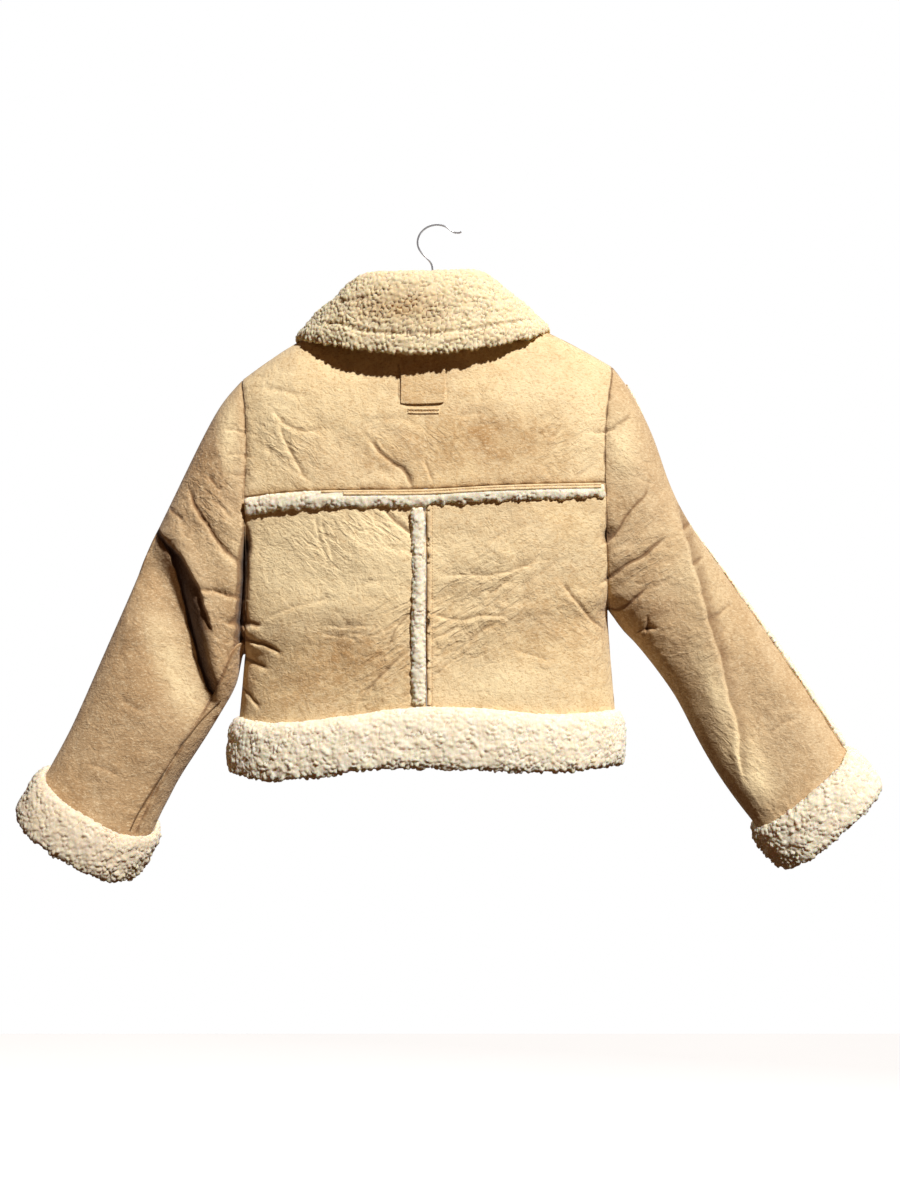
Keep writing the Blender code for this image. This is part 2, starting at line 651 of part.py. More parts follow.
def collar_section(base, inner, up, angle, side, cloth):
    """The collar's cut at one place: up its stand, over its fold and down its fall."""
    row = {name: curve(angle) for name, curve in collar_columns.items()}
    turn = math.radians(angle)
    out = Vector((side * math.sin(turn), -math.cos(turn), 0))
    round_neck = Vector((side * math.cos(turn), math.sin(turn), 0))
    base, inner = base + up * COLLAR_SEAM, inner + up * COLLAR_SEAM
    middle = (base + inner) / 2
    lean = 0.6 * ease(angle, 70, 110)
    stand = row["fold"] - COLLAR_TURN
    path = [(0, 0.5), (0, max(stand * 0.35, 3)), (0, max(stand * 0.7, 4.5)), (0, max(stand, 6))]
    top = path[-1][1]
    for step in FOLD_TURNS:
        bend = math.radians(step)
        path.append((COLLAR_TURN * (1 - math.cos(bend)), top + COLLAR_TURN * math.sin(bend)))
    start, end = path[-1], (row["reach"], row["rise"])
    pull = (mix(start[0], end[0], 0.6), mix(start[1], end[1], 0.3))
    for share in FALL_SHARES:
        path.append(tuple(
            start[i] * (1 - share) ** 2 + 2 * pull[i] * share * (1 - share) + end[i] * share**2
            for i in (0, 1)
        ))
    rib = COLLAR_THICK + COLLAR_RIB
    thick = [*COLLAR_STAND, *[COLLAR_THICK] * len(FOLD_TURNS)]
    thick += [rib, rib, COLLAR_THICK - COLLAR_GROOVE, rib, COLLAR_EDGE]
    last_turn = len(COLLAR_STAND) + len(FOLD_TURNS) - 1
    under, over = [], []
    for i, (reach, rise) in enumerate(path):
        before, after = path[max(i - 1, 0)], path[min(i + 1, len(path) - 1)]
        way = Vector((after[0] - before[0], after[1] - before[1])).normalized()
        square = Vector((way.y, -way.x))
        fallen = max(i - last_turn, 0) / len(FALL_SHARES)
        upward = Vector((0, 0, 1)).lerp(up, lean if fallen == 0 else 0)
        centre = middle + out * reach + upward * rise - round_neck * row["sweep"] * fallen**1.3
        if i == 0:
            under.append(base)
            over.append(inner)
            continue
        half = (out * square.x + Vector((0, 0, square.y))) * thick[i] / 2
        spot, outward, _, _ = cloth.find_nearest(centre + half)
        rest = COLLAR_REST * min(0.3 + 2 * fallen, 1)
        centre += outward * max(rest - (centre + half - spot).dot(outward), 0)
        under.append(centre + half)
        over.append(centre - half)
    return over + under[::-1]


def make_collar(shell, neckline, made_of):
    """The collar round the neckline's loop of (outer point, normal), from front edge to front edge."""
    cloth = BVHTree.FromPolygons(shell.points, [quad for quads in shell.pieces.values() for quad in quads])
    sections = []
    loop = []
    for a, b in zip(neckline, neckline[1:]):
        loop += [a, tuple((a[i] + b[i]) / 2 for i in (0, 1))]
    loop.append(neckline[-1])
    middle = (len(loop) - 1) / 2
    for i, (point, normal) in enumerate(loop):
        before, after = loop[max(i - 1, 0)][0], loop[min(i + 1, len(loop) - 1)][0]
        up = (after - before).cross(normal).normalized()
        if up.z < 0:
            up.negate()
        across = (point.x - NECK_CENTRE) / NECK_HALF_WIDTH
        angle = math.degrees(math.asin(min(abs(across), 1)))
        if point.y > 0:
            angle = 180 - angle
        angle = min(angle, 180)
        side = -1 if i < middle else 1
        sections.append(collar_section(point, point - normal * WALL, up, angle, side, cloth))
    return loft("collar", sections, made_of)


# ---------------------------------------------------------------- the hanger
def make_hanger(bar_material, hook_material):
    """A bar just under the shoulder seams, humped at the neck, and a wire hook."""
    line = []
    seam = [Vector((x, z)) for x, _, z in top_columns("back")]
    first = len(SHOULDER_COLUMNS) - 1
    for i in list(range(1, first + 1)) + list(range(len(seam) - first - 1, len(seam) - 1)):
        along = (seam[i + 1] - seam[i - 1]).normalized()
        under = seam[i] + Vector((along.y, -along.x)) * (WALL + HANGER_TOP_GAP)
        line.append(tuple(under))
    left, right = line[first - 1], line[first]
    hump = []
    for share in HANGER_HUMP:
        fall = ease(share, 0, 1) * 0.6 + share * 0.4
        hump.append((mix(HOOK_X, left[0], share), mix(HANGER_PEAK, left[1], fall)))
        hump.append((mix(HOOK_X, right[0], share), mix(HANGER_PEAK, right[1], fall)))
    hump.append((HOOK_X, HANGER_PEAK))
    line = sorted(line + hump)
    sections = []
    for i, (x, top) in enumerate(line):
        size = HANGER_TIP if i in (0, len(line) - 1) else 1
        ring = []
        for j in range(8):
            turn = 2 * math.pi * j / 8
            ring.append(Vector((
                x, HANGER_WIDE / 2 * size * math.sin(turn),
                top - HANGER_TALL / 2 * size * (1 - math.cos(turn)),
            )))
        sections.append(ring[::-1])
    loft("hanger_bar", sections, bar_material)

    path = []
    for i in range(len(HOOK) - 1):
        knots = [HOOK[min(max(i + k, 0), len(HOOK) - 1)] for k in (-1, 0, 1, 2)]
        for t in (0, 0.5):
            path.append(Vector((smooth(t, *(k.x for k in knots)), 0, smooth(t, *(k.z for k in knots)))))
    path.append(Vector((HOOK[-1].x, 0, HOOK[-1].z)))
    curve = bpy.data.curves.new("hanger_hook", "CURVE")
    curve.dimensions = "3D"
    curve.bevel_depth = HOOK_WIRE / 2 * MM
    curve.bevel_resolution = 2
    curve.use_fill_caps = True
    line = curve.splines.new("POLY")
    line.points.add(len(path) - 1)
    for place, point in zip(line.points, path):
        place.co = (*(point * MM), 1)
    curve.materials.append(hook_material)
    hook = bpy.data.objects.new("hanger_hook", curve)
    bpy.context.scene.collection.objects.link(hook)


# ---------------------------------------------------------------- putting the coat together
def build():
    for left_over in list(bpy.data.objects):
        bpy.data.objects.remove(left_over)
    suede = material("suede", SUEDE, 0.85)
    sherpa = material("sherpa", SHERPA, 0.95)
    chrome = material("chrome", CHROME, 0.2, 1.0)
    clear_bar = material("bar", BAR_CLEAR, 0.35)

    shell = Shell()
    shared = {}
    back = body_grid(shell, "back", shared)
    front = body_grid(shell, "front", shared)
    last_row = len(back) - 1
    yoke_row = len(YOKE_ROWS) - 1
    armpit_row = yoke_row + len(SIDE_ROWS)
    band_row = armpit_row + len(LOWER_ROWS)
    middle = len(back[0]) // 2

    for r in range(last_row):
        for c in range(len(back[0]) - 1):
            lower = "back_left" if c < middle else "back_right"
            corners = (back[r][c], back[r + 1][c], back[r + 1][c + 1], back[r][c + 1])
            shell.quad("back_yoke" if r < yoke_row else lower, corners)
        for c in range(len(front[0]) - 1):
            if c == middle:
                continue
            piece = "front_left" if c < middle else "front_right"
            corners = (front[r][c], front[r + 1][c], front[r + 1][c + 1], front[r][c + 1])
            shell.quad(piece, corners, flip=True)

    sleeves = {}
    for name, column, arms, crest, seam in (
        ("left", 0, SLEEVE_LEFT, CREST_LEFT, ARM_SIDE - 1),
        ("right", -1, SLEEVE_RIGHT, CREST_RIGHT, ARM_SIDE + 1),
    ):
        hole = [back[r][column] for r in range(armpit_row + 1)]
        hole += [front[r][column] for r in range(armpit_row - 1, 0, -1)]
        rings = sleeve_rings(shell, hole, arms, crest, name)
        for k in range(len(rings) - 1):
            for j in range(len(hole)):
                i = (j + 1) % len(hole)
                half = "back" if j < seam else "front"
                corners = (rings[k][j], rings[k + 1][j], rings[k + 1][i], rings[k][i])
                shell.quad(f"sleeve_{name}_{half}", corners, flip=name == "right")
        sleeves[name] = Cloth(shell, rings, round_about=True)

    shell.work_out_normals()
    for piece in shell.pieces:
        wall_piece(shell, piece, suede)

    back_cloth = Cloth(shell, back)
    below_seam = shell.points[back[yoke_row][middle]] - shell.points[back[yoke_row + 1][middle]]
    seam_end = yoke_row + YOKE_STRIP_WIDTH / below_seam.length
    strip_rows = spread(yoke_row + 0.02, seam_end, [mix(yoke_row, seam_end, t) for t in (0.2, 0.5, 0.8)])
    pad_on(
        back_cloth, "yoke_strip", strip_rows, spread(0.2, len(back[0]) - 1.2),
        lambda row, column: rounded(row, yoke_row, seam_end, 0.25, STRIP_THICK), sherpa,
    )
    step = (shell.points[back[armpit_row][middle]] - shell.points[back[armpit_row][middle - 1]]).length
    low, high = middle - BACK_STRIP_WIDTH / step, middle - 0.03
    pad_on(
        back_cloth, "back_seam_strip", spread(seam_end + 0.05, band_row - 0.05),
        spread(low, high, [mix(low, high, t) for t in (0.25, 0.5, 0.75)]),
        lambda row, column: rounded(column, low, high, 0.4, STRIP_THICK - 0.5), sherpa,
    )
    pad_on(
        back_cloth, "neck_patch", spread(*PATCH_ROWS), spread(*(middle + c for c in PATCH_COLUMNS)),
        lambda row, column: PATCH_THICK, suede,
    )

    wrapped = []
    for r in range(armpit_row, last_row + 1):
        wrapped.append(front[r][middle::-1] + back[r][1:-1] + front[r][:middle:-1])
    hem_low, hem_high = band_row - armpit_row, last_row - armpit_row + BAND_TUCK
    hem_marks = [mix(hem_low, hem_high, t) for t in (0.1, 0.5, 0.9)]
    pad_on(
        Cloth(shell, wrapped), "hem_band", spread(hem_low, hem_high, hem_marks),
        spread(0, len(wrapped[0]) - 1),
        lambda row, column: rounded(row, hem_low, hem_high, 0.8, BAND_THICK), sherpa,
    )

    for name, (strip_low, strip_high) in ARM_STRIPS.items():
        cloth = sleeves[name]
        cuff_low = len(ARM_STEPS) - 1
        cuff_high = cuff_low + len(CUFF_RINGS) + BAND_TUCK
        marks = [mix(cuff_low, cuff_high, t) for t in (0.1, 0.5, 0.9)]
        pad_on(
            cloth, f"cuff_{name}", spread(cuff_low, cuff_high, marks), range(2 * ARM_SIDE),
            lambda row, column: rounded(row, cuff_low, cuff_high, 0.8, CUFF_THICK), sherpa, closed=True,
        )
        across = [mix(strip_low, strip_high, t) for t in (0.25, 0.5, 0.75)]
        pad_on(
            cloth, f"sleeve_strip_{name}", spread(ARM_STRIP_START, cuff_low - BAND_TUCK),
            spread(strip_low, strip_high, across),
            lambda row, column: rounded(column, strip_low, strip_high, 0.5, STRIP_THICK), sherpa,
            lift=ARM_STRIP_LIFT,
        )

    neck_first = len(SHOULDER_COLUMNS) - 1
    neck_last = neck_first + NECK_STEPS
    loop = [front[0][c] for c in range(middle, neck_first - 1, -1)]
    loop += [back[0][c] for c in range(neck_first + 1, neck_last)]
    loop += [front[0][c] for c in range(neck_last + 1, middle, -1)]
    make_collar(shell, [(shell.points[i], shell.normals[i]) for i in loop], sherpa)
    make_hanger(clear_bar, chrome)


build()
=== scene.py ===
import math

import bpy
import numpy as np
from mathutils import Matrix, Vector, kdtree, noise


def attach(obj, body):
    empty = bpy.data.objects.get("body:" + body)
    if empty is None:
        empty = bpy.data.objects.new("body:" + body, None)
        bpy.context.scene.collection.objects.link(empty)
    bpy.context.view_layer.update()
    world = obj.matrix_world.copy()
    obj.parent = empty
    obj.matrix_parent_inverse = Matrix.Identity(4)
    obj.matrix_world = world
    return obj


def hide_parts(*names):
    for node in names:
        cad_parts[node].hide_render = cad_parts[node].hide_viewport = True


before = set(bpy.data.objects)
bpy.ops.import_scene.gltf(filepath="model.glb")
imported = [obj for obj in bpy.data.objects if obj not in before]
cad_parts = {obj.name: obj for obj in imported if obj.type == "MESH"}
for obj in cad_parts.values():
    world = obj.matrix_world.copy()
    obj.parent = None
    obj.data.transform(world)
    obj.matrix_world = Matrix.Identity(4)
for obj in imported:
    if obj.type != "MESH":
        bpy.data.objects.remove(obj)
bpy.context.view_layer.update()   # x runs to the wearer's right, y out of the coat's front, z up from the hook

mm = 0.001
noise.seed_set(1)   # or noise_vector would take its offsets from the clock
atBack = Vector((0, -1, 0))   # the side that the camera sees
atFront = Vector((0, 1, 0))


# helpers for meshes

def pickOnly(ob):
    bpy.ops.object.select_all(action="DESELECT")
    ob.select_set(True)
    bpy.context.view_layer.objects.active = ob


def withModifier(ob, kind, **settings):
    pickOnly(ob)
    bpy.ops.object.modifier_add(type=kind)
    modifier = ob.modifiers[-1]
    for key, value in settings.items():
        setattr(modifier, key, value)
    bpy.ops.object.modifier_apply(modifier=modifier.name)


def copyOf(node, name):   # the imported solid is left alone, its copy is welded into quads
    ob = bpy.data.objects.new(name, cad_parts[node].data.copy())
    bpy.context.scene.collection.objects.link(ob)
    ob.data.materials.clear()
    pickOnly(ob)
    bpy.ops.object.mode_set(mode="EDIT")
    bpy.ops.mesh.select_all(action="SELECT")
    bpy.ops.mesh.remove_doubles(threshold=0.01 * mm)
    bpy.ops.mesh.tris_convert_to_quads(face_threshold=math.radians(40), shape_threshold=math.radians(60))
    bpy.ops.object.mode_set(mode="OBJECT")
    return ob


def pointsOf(ob):
    points = np.empty(len(ob.data.vertices) * 3, np.float32)
    ob.data.vertices.foreach_get("co", points)
    return points.reshape(-1, 3).astype(np.float64)


def movePoints(ob, points):
    ob.data.vertices.foreach_set("co", points.astype(np.float32).ravel())
    ob.data.update()


def normalsOf(ob):
    normals = np.empty(len(ob.data.vertices) * 3, np.float32)
    ob.data.vertex_normals.foreach_get("vector", normals)
    return normals.reshape(-1, 3).astype(np.float64)


def edgesOf(ob):
    edges = np.empty(len(ob.data.edges) * 2, np.int32)
    ob.data.edges.foreach_get("vertices", edges)
    return edges.reshape(-1, 2)


def keepNumbers(ob, name, values):   # a number for each vertex, which a material reads
    layer = ob.data.attributes.new(name, "FLOAT", "POINT")
    layer.data.foreach_set("value", values.astype(np.float32))


def ease(value, low, high):   # 0 below low, 1 above high, smooth between
    t = np.clip((value - low) / (high - low), 0, 1)
    return t * t * (3 - 2 * t)


def dress(ob, slot, look, *nodes):   # what every piece of the coat gets
    ob.data.materials.append(look)
    ob.data.shade_smooth()
    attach(ob, "root")
    if nodes:
        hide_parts(*nodes)
    print(f"  {ob.name}: {len(ob.data.polygons)} faces")
    return ob


# helpers for materials

class Value:   # a number or colour on its way through a material
    def __init__(self, look, socket):
        self.look, self.socket = look, socket

    def maths(self, operation, *others):
        values = {place + 1: other for place, other in enumerate(others)}
        return self.look.add("ShaderNodeMath", {"operation": operation}, {0: self, **values})

    def __add__(self, other):
        return self.maths("ADD", other)

    def __sub__(self, other):
        return self.maths("SUBTRACT", other)

    def __rsub__(self, other):
        return self.look.add("ShaderNodeMath", {"operation": "SUBTRACT"}, {0: other, 1: self})

    def __mul__(self, other):
        return self.maths("MULTIPLY", other)

    def __pow__(self, other):
        return self.maths("POWER", other)

    __radd__ = __add__
    __rmul__ = __mul__

    def between(self, low, high):   # 0 below low and 1 above high
        ranged = {"interpolation_type": "SMOOTHSTEP"}
        return self.look.add("ShaderNodeMapRange", ranged, {"Value": self, "From Min": low, "From Max": high})


class Look:   # one procedural material
    def __init__(self, name, **constants):
        self.material = bpy.data.materials.new(name)
        self.material.use_nodes = True
        self.tree = self.material.node_tree
        self.shader = self.tree.nodes["Principled BSDF"]
        for socket, value in constants.items():
            self.shader.inputs[socket.replace("_", " ")].default_value = value
        self.places = self.add("ShaderNodeTexCoord", output="Object")

    def add(self, kind, settings=None, sockets=None, output=0):
        node = self.tree.nodes.new(kind)
        for key, value in (settings or {}).items():
            if key == "stops":
                for stop, (position, colour) in zip(node.color_ramp.elements, value):
                    stop.position, stop.color = position, (*colour, 1)
            else:
                setattr(node, key, value)
        for key, value in (sockets or {}).items():
            if isinstance(value, Value):
                self.tree.links.new(value.socket, node.inputs[key])
            else:
                node.inputs[key].default_value = value
        return Value(self, node.outputs[output])

    def clouded(self, placed, perMetre, detail, rough, bend):
        sockets = {"Vector": placed, "Scale": perMetre, "Detail": detail, "Roughness": rough}
        return self.add("ShaderNodeTexNoise", {}, {**sockets, "Distortion": bend})

    def noise(self, perMetre, detail=3.0, rough=0.5, stretch=(1, 1, 1), bend=0.0):
        placed = self.add("ShaderNodeMapping", {}, {"Vector": self.places, "Scale": stretch})
        return self.clouded(placed, perMetre, detail, rough, bend)

    def ripples(self, perMetre, slope, long):   # noise drawn out along a line at this slope
        places = {"Vector": self.places, "Scale": (long, 1, 1), "Rotation": (0, -math.radians(slope), 0)}
        placed = self.add("ShaderNodeMapping", {"vector_type": "TEXTURE"}, places)
        return self.clouded(placed, perMetre, 2.0, 0.55, 0.6).between(0.36, 0.64)

    def mix(self, share, first, second):   # colours meet here, since a Math node turns them grey
        settings = {"data_type": "RGBA", "clamp_factor": True}
        return self.add("ShaderNodeMix", settings, {0: share, 6: first, 7: second}, output=2)

    def reads(self, attribute):   # a number kept on the mesh
        return self.add("ShaderNodeAttribute", {"attribute_name": attribute}, output="Fac")

    def wear(self, colour, height=None, depth=0.0, strength=1.0, roughness=None):
        self.tree.links.new(colour.socket, self.shader.inputs["Base Color"])
        if roughness:
            self.tree.links.new(roughness.socket, self.shader.inputs["Roughness"])
        if height:
            bump = self.add("ShaderNodeBump", {}, {"Height": height, "Distance": depth, "Strength": strength})
            self.tree.links.new(bump.socket, self.shader.inputs["Normal"])
        return self.material


def tone(red, green, blue):   # a colour as seen on a screen, 0 to 255, in the linear values of a node
    linear = [((c / 255 + 0.055) / 1.055) ** 2.4 for c in (red, green, blue)]
    return (*linear, 1.0)


# suede

suedeSet = {
    "tan": tone(211, 171, 115),
    "pale": tone(236, 213, 173),
    "light": tone(248, 224, 176),      # a paler tan, for painted light on whole pieces and ripple crests, and for pale nap
    "brown": tone(176, 130, 76),
    "creaseShadeTone": tone(112, 72, 36),         # painted shade at the bottom of creases
    "deepShadowTone": tone(46, 20, 6),           # painted shadow deep inside a fold
    "patchesPerMetre": 11.0,
    "cloudsPerMetre": 62.0,
    "brushPerMetre": 350.0,            # short brushed fibres, 2 to 4 mm long
    "brushStretch": (0.75, 0.75, 1.25),
    "grainPerMetre": 900.0,
    "ripplesPerMetre": 130.0,          # slanted ripples 8 mm apart
    "rippleSlopes": (36.0, -38.0),
    "rippleLength": 3.4,
    "napDepth": 1.0 * mm,
}


# The last two numbers turn a whole piece browner or paler: painted shade and painted light, for pieces that
# face away from or towards the light.
def suedeLook(name, s, shade=0.0, paintedLight=0.0):
    look = Look(name, Sheen_Weight=0.15, Sheen_Roughness=0.5, Specular_IOR_Level=0.2)
    patches = look.noise(s["patchesPerMetre"], 4.0, 0.6, bend=0.8).between(0.36, 0.66)
    clouds = look.noise(s["cloudsPerMetre"], 4.0, 0.65, bend=0.5).between(0.34, 0.68)
    brush = look.noise(s["brushPerMetre"], 2.0, 0.7, s["brushStretch"])
    grain = look.noise(s["grainPerMetre"], 2.0, 0.6)
    crease = look.reads("crease")     # 0 in a trough, 1 on a ridge, 0.5 between
    nap = look.reads("nap") * (clouds * 0.5 + patches * 0.4 + 0.55)   # above 0 pale, below 0 brown: brushed nap, and in places painted light and shade
    slopes = s["rippleSlopes"]
    climb, fall = [look.ripples(s["ripplesPerMetre"], slope, s["rippleLength"]) for slope in slopes]
    ripple = (climb - 0.5) * look.reads("climb") + (fall - 0.5) * look.reads("fall")
    # painted light: the whole piece made paler
    colour = look.mix(paintedLight, s["tan"], s["light"])
    colour = look.mix(patches * 0.38, colour, s["pale"])
    colour = look.mix(clouds * 0.3 + shade, colour, s["brown"])
    # nap: brushed pale and brown, and in places painted light and shade
    colour = look.mix(nap, colour, s["light"])
    colour = look.mix(nap * -1.0, colour, s["brown"])
    colour = look.mix(brush.between(0.5, 0.72) * 0.6, colour, s["pale"])
    colour = look.mix(brush.between(0.5, 0.3) * 0.45, colour, s["brown"])
    # painted light and shade on the ripples' crests and hollows
    colour = look.mix(ripple * 0.3, colour, s["light"])
    colour = look.mix(ripple * -0.3, colour, s["brown"])
    # painted shade in crease troughs (and darker along seams), a painted highlight on ridges
    colour = look.mix(crease.between(0.45, 0.12) * 0.7, colour, s["creaseShadeTone"])
    colour = look.mix(crease.between(0.56, 0.95) * 0.15, colour, s["pale"])
    # painted shadow deep inside folds
    colour = look.mix(look.reads("deepShadow") * 0.85, colour, s["deepShadowTone"])
    rough = look.noise(60.0, 2.0).between(0.2, 0.8) * 0.12 + 0.82
    relief = brush * 0.8 + grain * 0.35 + clouds * 0.7 + ripple * 1.15
    return look.wear(colour, relief, s["napDepth"], 0.9, rough)


# sherpa

sherpaSet = {
    "cream": tone(248, 239, 218),
    "warm": tone(236, 216, 178),
    # painted shade between the tufts
    "creviceShade": tone(120, 68, 22),
    "paleCreviceShade": tone(168, 120, 70),
    "worn": tone(186, 148, 98),
    "curlPerMetre": 430.0,
    "fuzzPerMetre": 1100.0,
    "curlDepth": 0.7 * mm,
}


def sherpaLook(name, s, creviceShade, creviceShadeDepth):
    look = Look(name, Sheen_Weight=0.2, Sheen_Roughness=0.5, Specular_IOR_Level=0.15, Roughness=0.95,
                Subsurface_Weight=0.5, Subsurface_Radius=(1.0, 0.6, 0.3), Subsurface_Scale=7.0 * mm)
    low = look.reads("creviceShade")       # 1 between the tufts, 0 on top of them
    tuft = look.reads("tuft")         # one number for each tuft
    worn = look.reads("worn")         # 1 where the pile has gone brown
    curl = look.noise(s["curlPerMetre"], 3.0, 0.65, bend=1.2)
    fuzz = look.noise(s["fuzzPerMetre"], 2.0, 0.6)
    drift = look.noise(28.0, 3.0, 0.6)
    colour = look.mix(tuft * 0.5, s["cream"], s["warm"])
    colour = look.mix(curl.between(0.6, 0.32) * 0.4, colour, s["warm"])
    colour = look.mix(worn * 0.55, colour, s["worn"])
    # painted shade between the tufts, deeper in places and where the pile is worn
    depth = low.between(0.25, 0.95) * (drift.between(0.3, 0.7) * 0.4 + worn * 0.9 + creviceShadeDepth)
    colour = look.mix(depth, colour, creviceShade)
    return look.wear(colour, curl * 0.8 + fuzz * 0.4, s["curlDepth"], 0.9)


# creases: x and z along each one in mm from the hook, left to right or downwards,
# then its depth, its half width, and the ridge beneath it as a share of the depth

backCreases = [
    # yoke, left side
    ([(-194, -221), (-182, -238), (-166, -246), (-152, -252), (-120, -244)], 1.7, 2.4, 0.9),
    ([(-185, -236), (-176, -262), (-166, -283), (-158, -300), (-138, -320)], 2.0, 2.4, 1.0),
    ([(-208, -192), (-171, -204), (-145, -211)], 1.2, 4.0, 0.6),
    ([(-205, -262), (-190, -276), (-180, -288)], 0.9, 3.0, 0.7),
    # yoke, middle: the strong crease that ends at the seam
    ([(-82, -256), (-62, -277), (-50, -287), (-40, -294), (-32, -305), (-22, -324)], 3.2, 2.8, 0.9),
    ([(-88, -242), (-68, -236), (-49, -235), (-22, -241)], 1.2, 2.6, 1.1),
    ([(-68, -258), (-57, -272), (-43, -285)], 1.1, 2.0, 0.8),
    ([(-13, -282), (-9, -299), (0, -316)], 1.5, 2.2, 1.2),
    # yoke, right side
    ([(18, -235), (34, -230), (47, -229), (66, -233)], 1.2, 2.6, 1.1),
    ([(126, -255), (142, -241), (156, -225)], 1.1, 2.0, 1.0),
    ([(133, -262), (150, -246), (164, -230)], 1.0, 2.0, 0.9),
    ([(160, -305), (178, -294), (190, -288)], 1.2, 5.0, 0.6),
    ([(130, -293), (138, -309)], 1.1, 3.0, 0.9),
    ([(96, -285), (116, -264), (132, -246)], 0.8, 2.4, 0.9),
    # yoke, round the patch
    ([(-43, -166), (-43, -180), (-43, -221)], 1.6, 1.5, 0.0),
    ([(13, -166), (13, -180), (13, -221)], 1.3, 1.5, 0.5),
    ([(-46, -221), (-14, -221.5), (16, -221)], 1.8, 1.5, 0.6),
    # left panel
    ([(-143, -346), (-136, -373), (-131, -390), (-124, -412)], 1.4, 2.2, 0.8),
    ([(-135, -349), (-127, -376), (-122, -392), (-117, -411)], 1.3, 2.2, 0.8),
    ([(-64, -342), (-43, -359), (-22, -376)], 3.4, 2.6, 0.9),
    ([(-62, -385), (-43, -390), (-20, -396)], 1.6, 2.6, 0.9),
    ([(-210, -475), (-187, -465), (-166, -456), (-143, -452), (-123, -445), (-104, -448)], 1.5, 2.6, 1.1),
    ([(-58, -512), (-53, -496), (-43, -476), (-20, -456)], 1.9, 2.4, 1.1),
    ([(-94, -574), (-74, -550), (-63, -537), (-48, -522), (-22, -502)], 2.1, 2.6, 1.1),
    ([(-42, -566), (-20, -548)], 1.5, 2.6, 1.0),
    ([(-246, -474), (-222, -477), (-200, -479)], 4.0, 3.0, 0.6),
    ([(-246, -494), (-218, -497), (-198, -503), (-176, -519)], 4.0, 3.0, 0.6),
    ([(-248, -516), (-219, -523), (-192, -533)], 3.6, 3.0, 0.6),
    ([(-238, -548), (-217, -566), (-206, -582)], 3.0, 2.8, 0.7),
    ([(-134, -477), (-108, -480), (-84, -478), (-56, -483)], 0.8, 2.6, 0.9),
    ([(-138, -490), (-110, -490), (-88, -495)], 0.6, 2.2, 0.9),
    ([(-104, -434), (-84, -428), (-62, -431)], 0.8, 2.8, 0.9),
    # right panel
    ([(-12, -422), (23, -420), (54, -421), (77, -418), (103, -410), (124, -404), (145, -396)], 1.8, 2.6, 1.1),
    ([(58, -446), (74, -434), (91, -421)], 1.2, 2.2, 1.1),
    ([(144, -421), (162, -444), (175, -460), (188, -474), (216, -497)], 2.2, 2.6, 1.2),
    ([(-12, -460), (8, -468), (24, -473), (36, -471), (57, -466), (94, -469)], 1.6, 2.6, 1.0),
    ([(-12, -499), (15, -486), (32, -478)], 1.6, 2.4, 1.0),
    ([(8, -524), (28, -507), (42, -496), (57, -484), (80, -475)], 1.5, 2.4, 1.0),
    ([(-12, -541), (11, -527), (27, -517)], 1.4, 2.6, 1.0),
    ([(88, -505), (106, -511), (118, -516), (143, -523)], 1.3, 2.6, 1.0),
    ([(60, -383), (80, -368), (105, -355)], 1.0, 3.0, 0.8),
    ([(-12, -450), (8, -446), (24, -440)], 1.1, 2.4, 1.0),
    # left sleeve, its underarm seam first
    ([(-236, -505), (-239, -521), (-248, -540), (-257, -569), (-283, -595), (-343, -682), (-375, -745)],
     2.6, 2.4, 0.3),
    ([(-296, -306), (-286, -337), (-277, -350), (-264, -370), (-250, -387), (-235, -399), (-216, -413)],
     3.4, 2.9, 0.8),
    ([(-320, -335), (-308, -347), (-296, -359)], 2.4, 2.4, 0.8),
    ([(-270, -300), (-260, -312), (-250, -323)], 2.2, 2.4, 0.8),
    ([(-259, -330), (-247, -344), (-234, -357)], 1.7, 2.6, 0.8),
    ([(-288, -435), (-264, -437), (-246, -444), (-214, -449)], 3.6, 2.6, 0.7),
    ([(-252, -475), (-236, -478), (-216, -481)], 3.2, 2.6, 0.7),
    ([(-277, -443), (-272, -466), (-262, -480)], 2.2, 2.4, 0.7),
    ([(-256, -247), (-240, -249), (-216, -250)], 1.4, 2.0, 0.9),
    ([(-252, -276), (-238, -277), (-216, -279)], 1.2, 2.0, 0.9),
    ([(-254, -300), (-240, -301), (-216, -302)], 1.2, 2.2, 0.9),
    ([(-224, -352), (-226, -400), (-229, -437), (-232, -479), (-236, -530)], 13.0, 4.8, 0.0),
    ([(-378, -560), (-362, -575), (-340, -583)], 1.2, 3.4, 0.8),
    ([(-420, -640), (-398, -648), (-372, -662)], 1.4, 3.4, 0.8),
    # right sleeve
    ([(182, -252), (198, -251), (216, -247)], 1.8, 2.4, 0.8),
    ([(206, -246), (216, -240), (236, -226)], 1.6, 4.0, 0.7),
    ([(186, -392), (203, -378), (214, -371), (224, -351), (236, -337), (248, -326), (256, -300)],
     2.4, 2.8, 0.9),
    ([(188, -433), (206, -424), (228, -406), (246, -398), (258, -385), (280, -369)], 3.8, 3.0, 0.9),
    ([(190, -462), (211, -460), (225, -458), (238, -444), (256, -432)], 3.4, 3.0, 0.9),
    ([(238, -490), (252, -481), (268, -483)], 2.4, 2.2, 0.8),
    ([(251, -466), (253, -482), (248, -496)], 2.0, 2.0, 0.6),
    ([(290, -369), (298, -361), (306, -353)], 1.8, 2.0, 0.9),
    ([(302, -411), (310, -404), (320, -396)], 1.6, 2.0, 0.9),
    ([(330, -470), (344, -458), (356, -452)], 1.4, 3.0, 0.9),
    ([(392, -610), (414, -596), (432, -588)], 1.4, 3.4, 0.9),
]

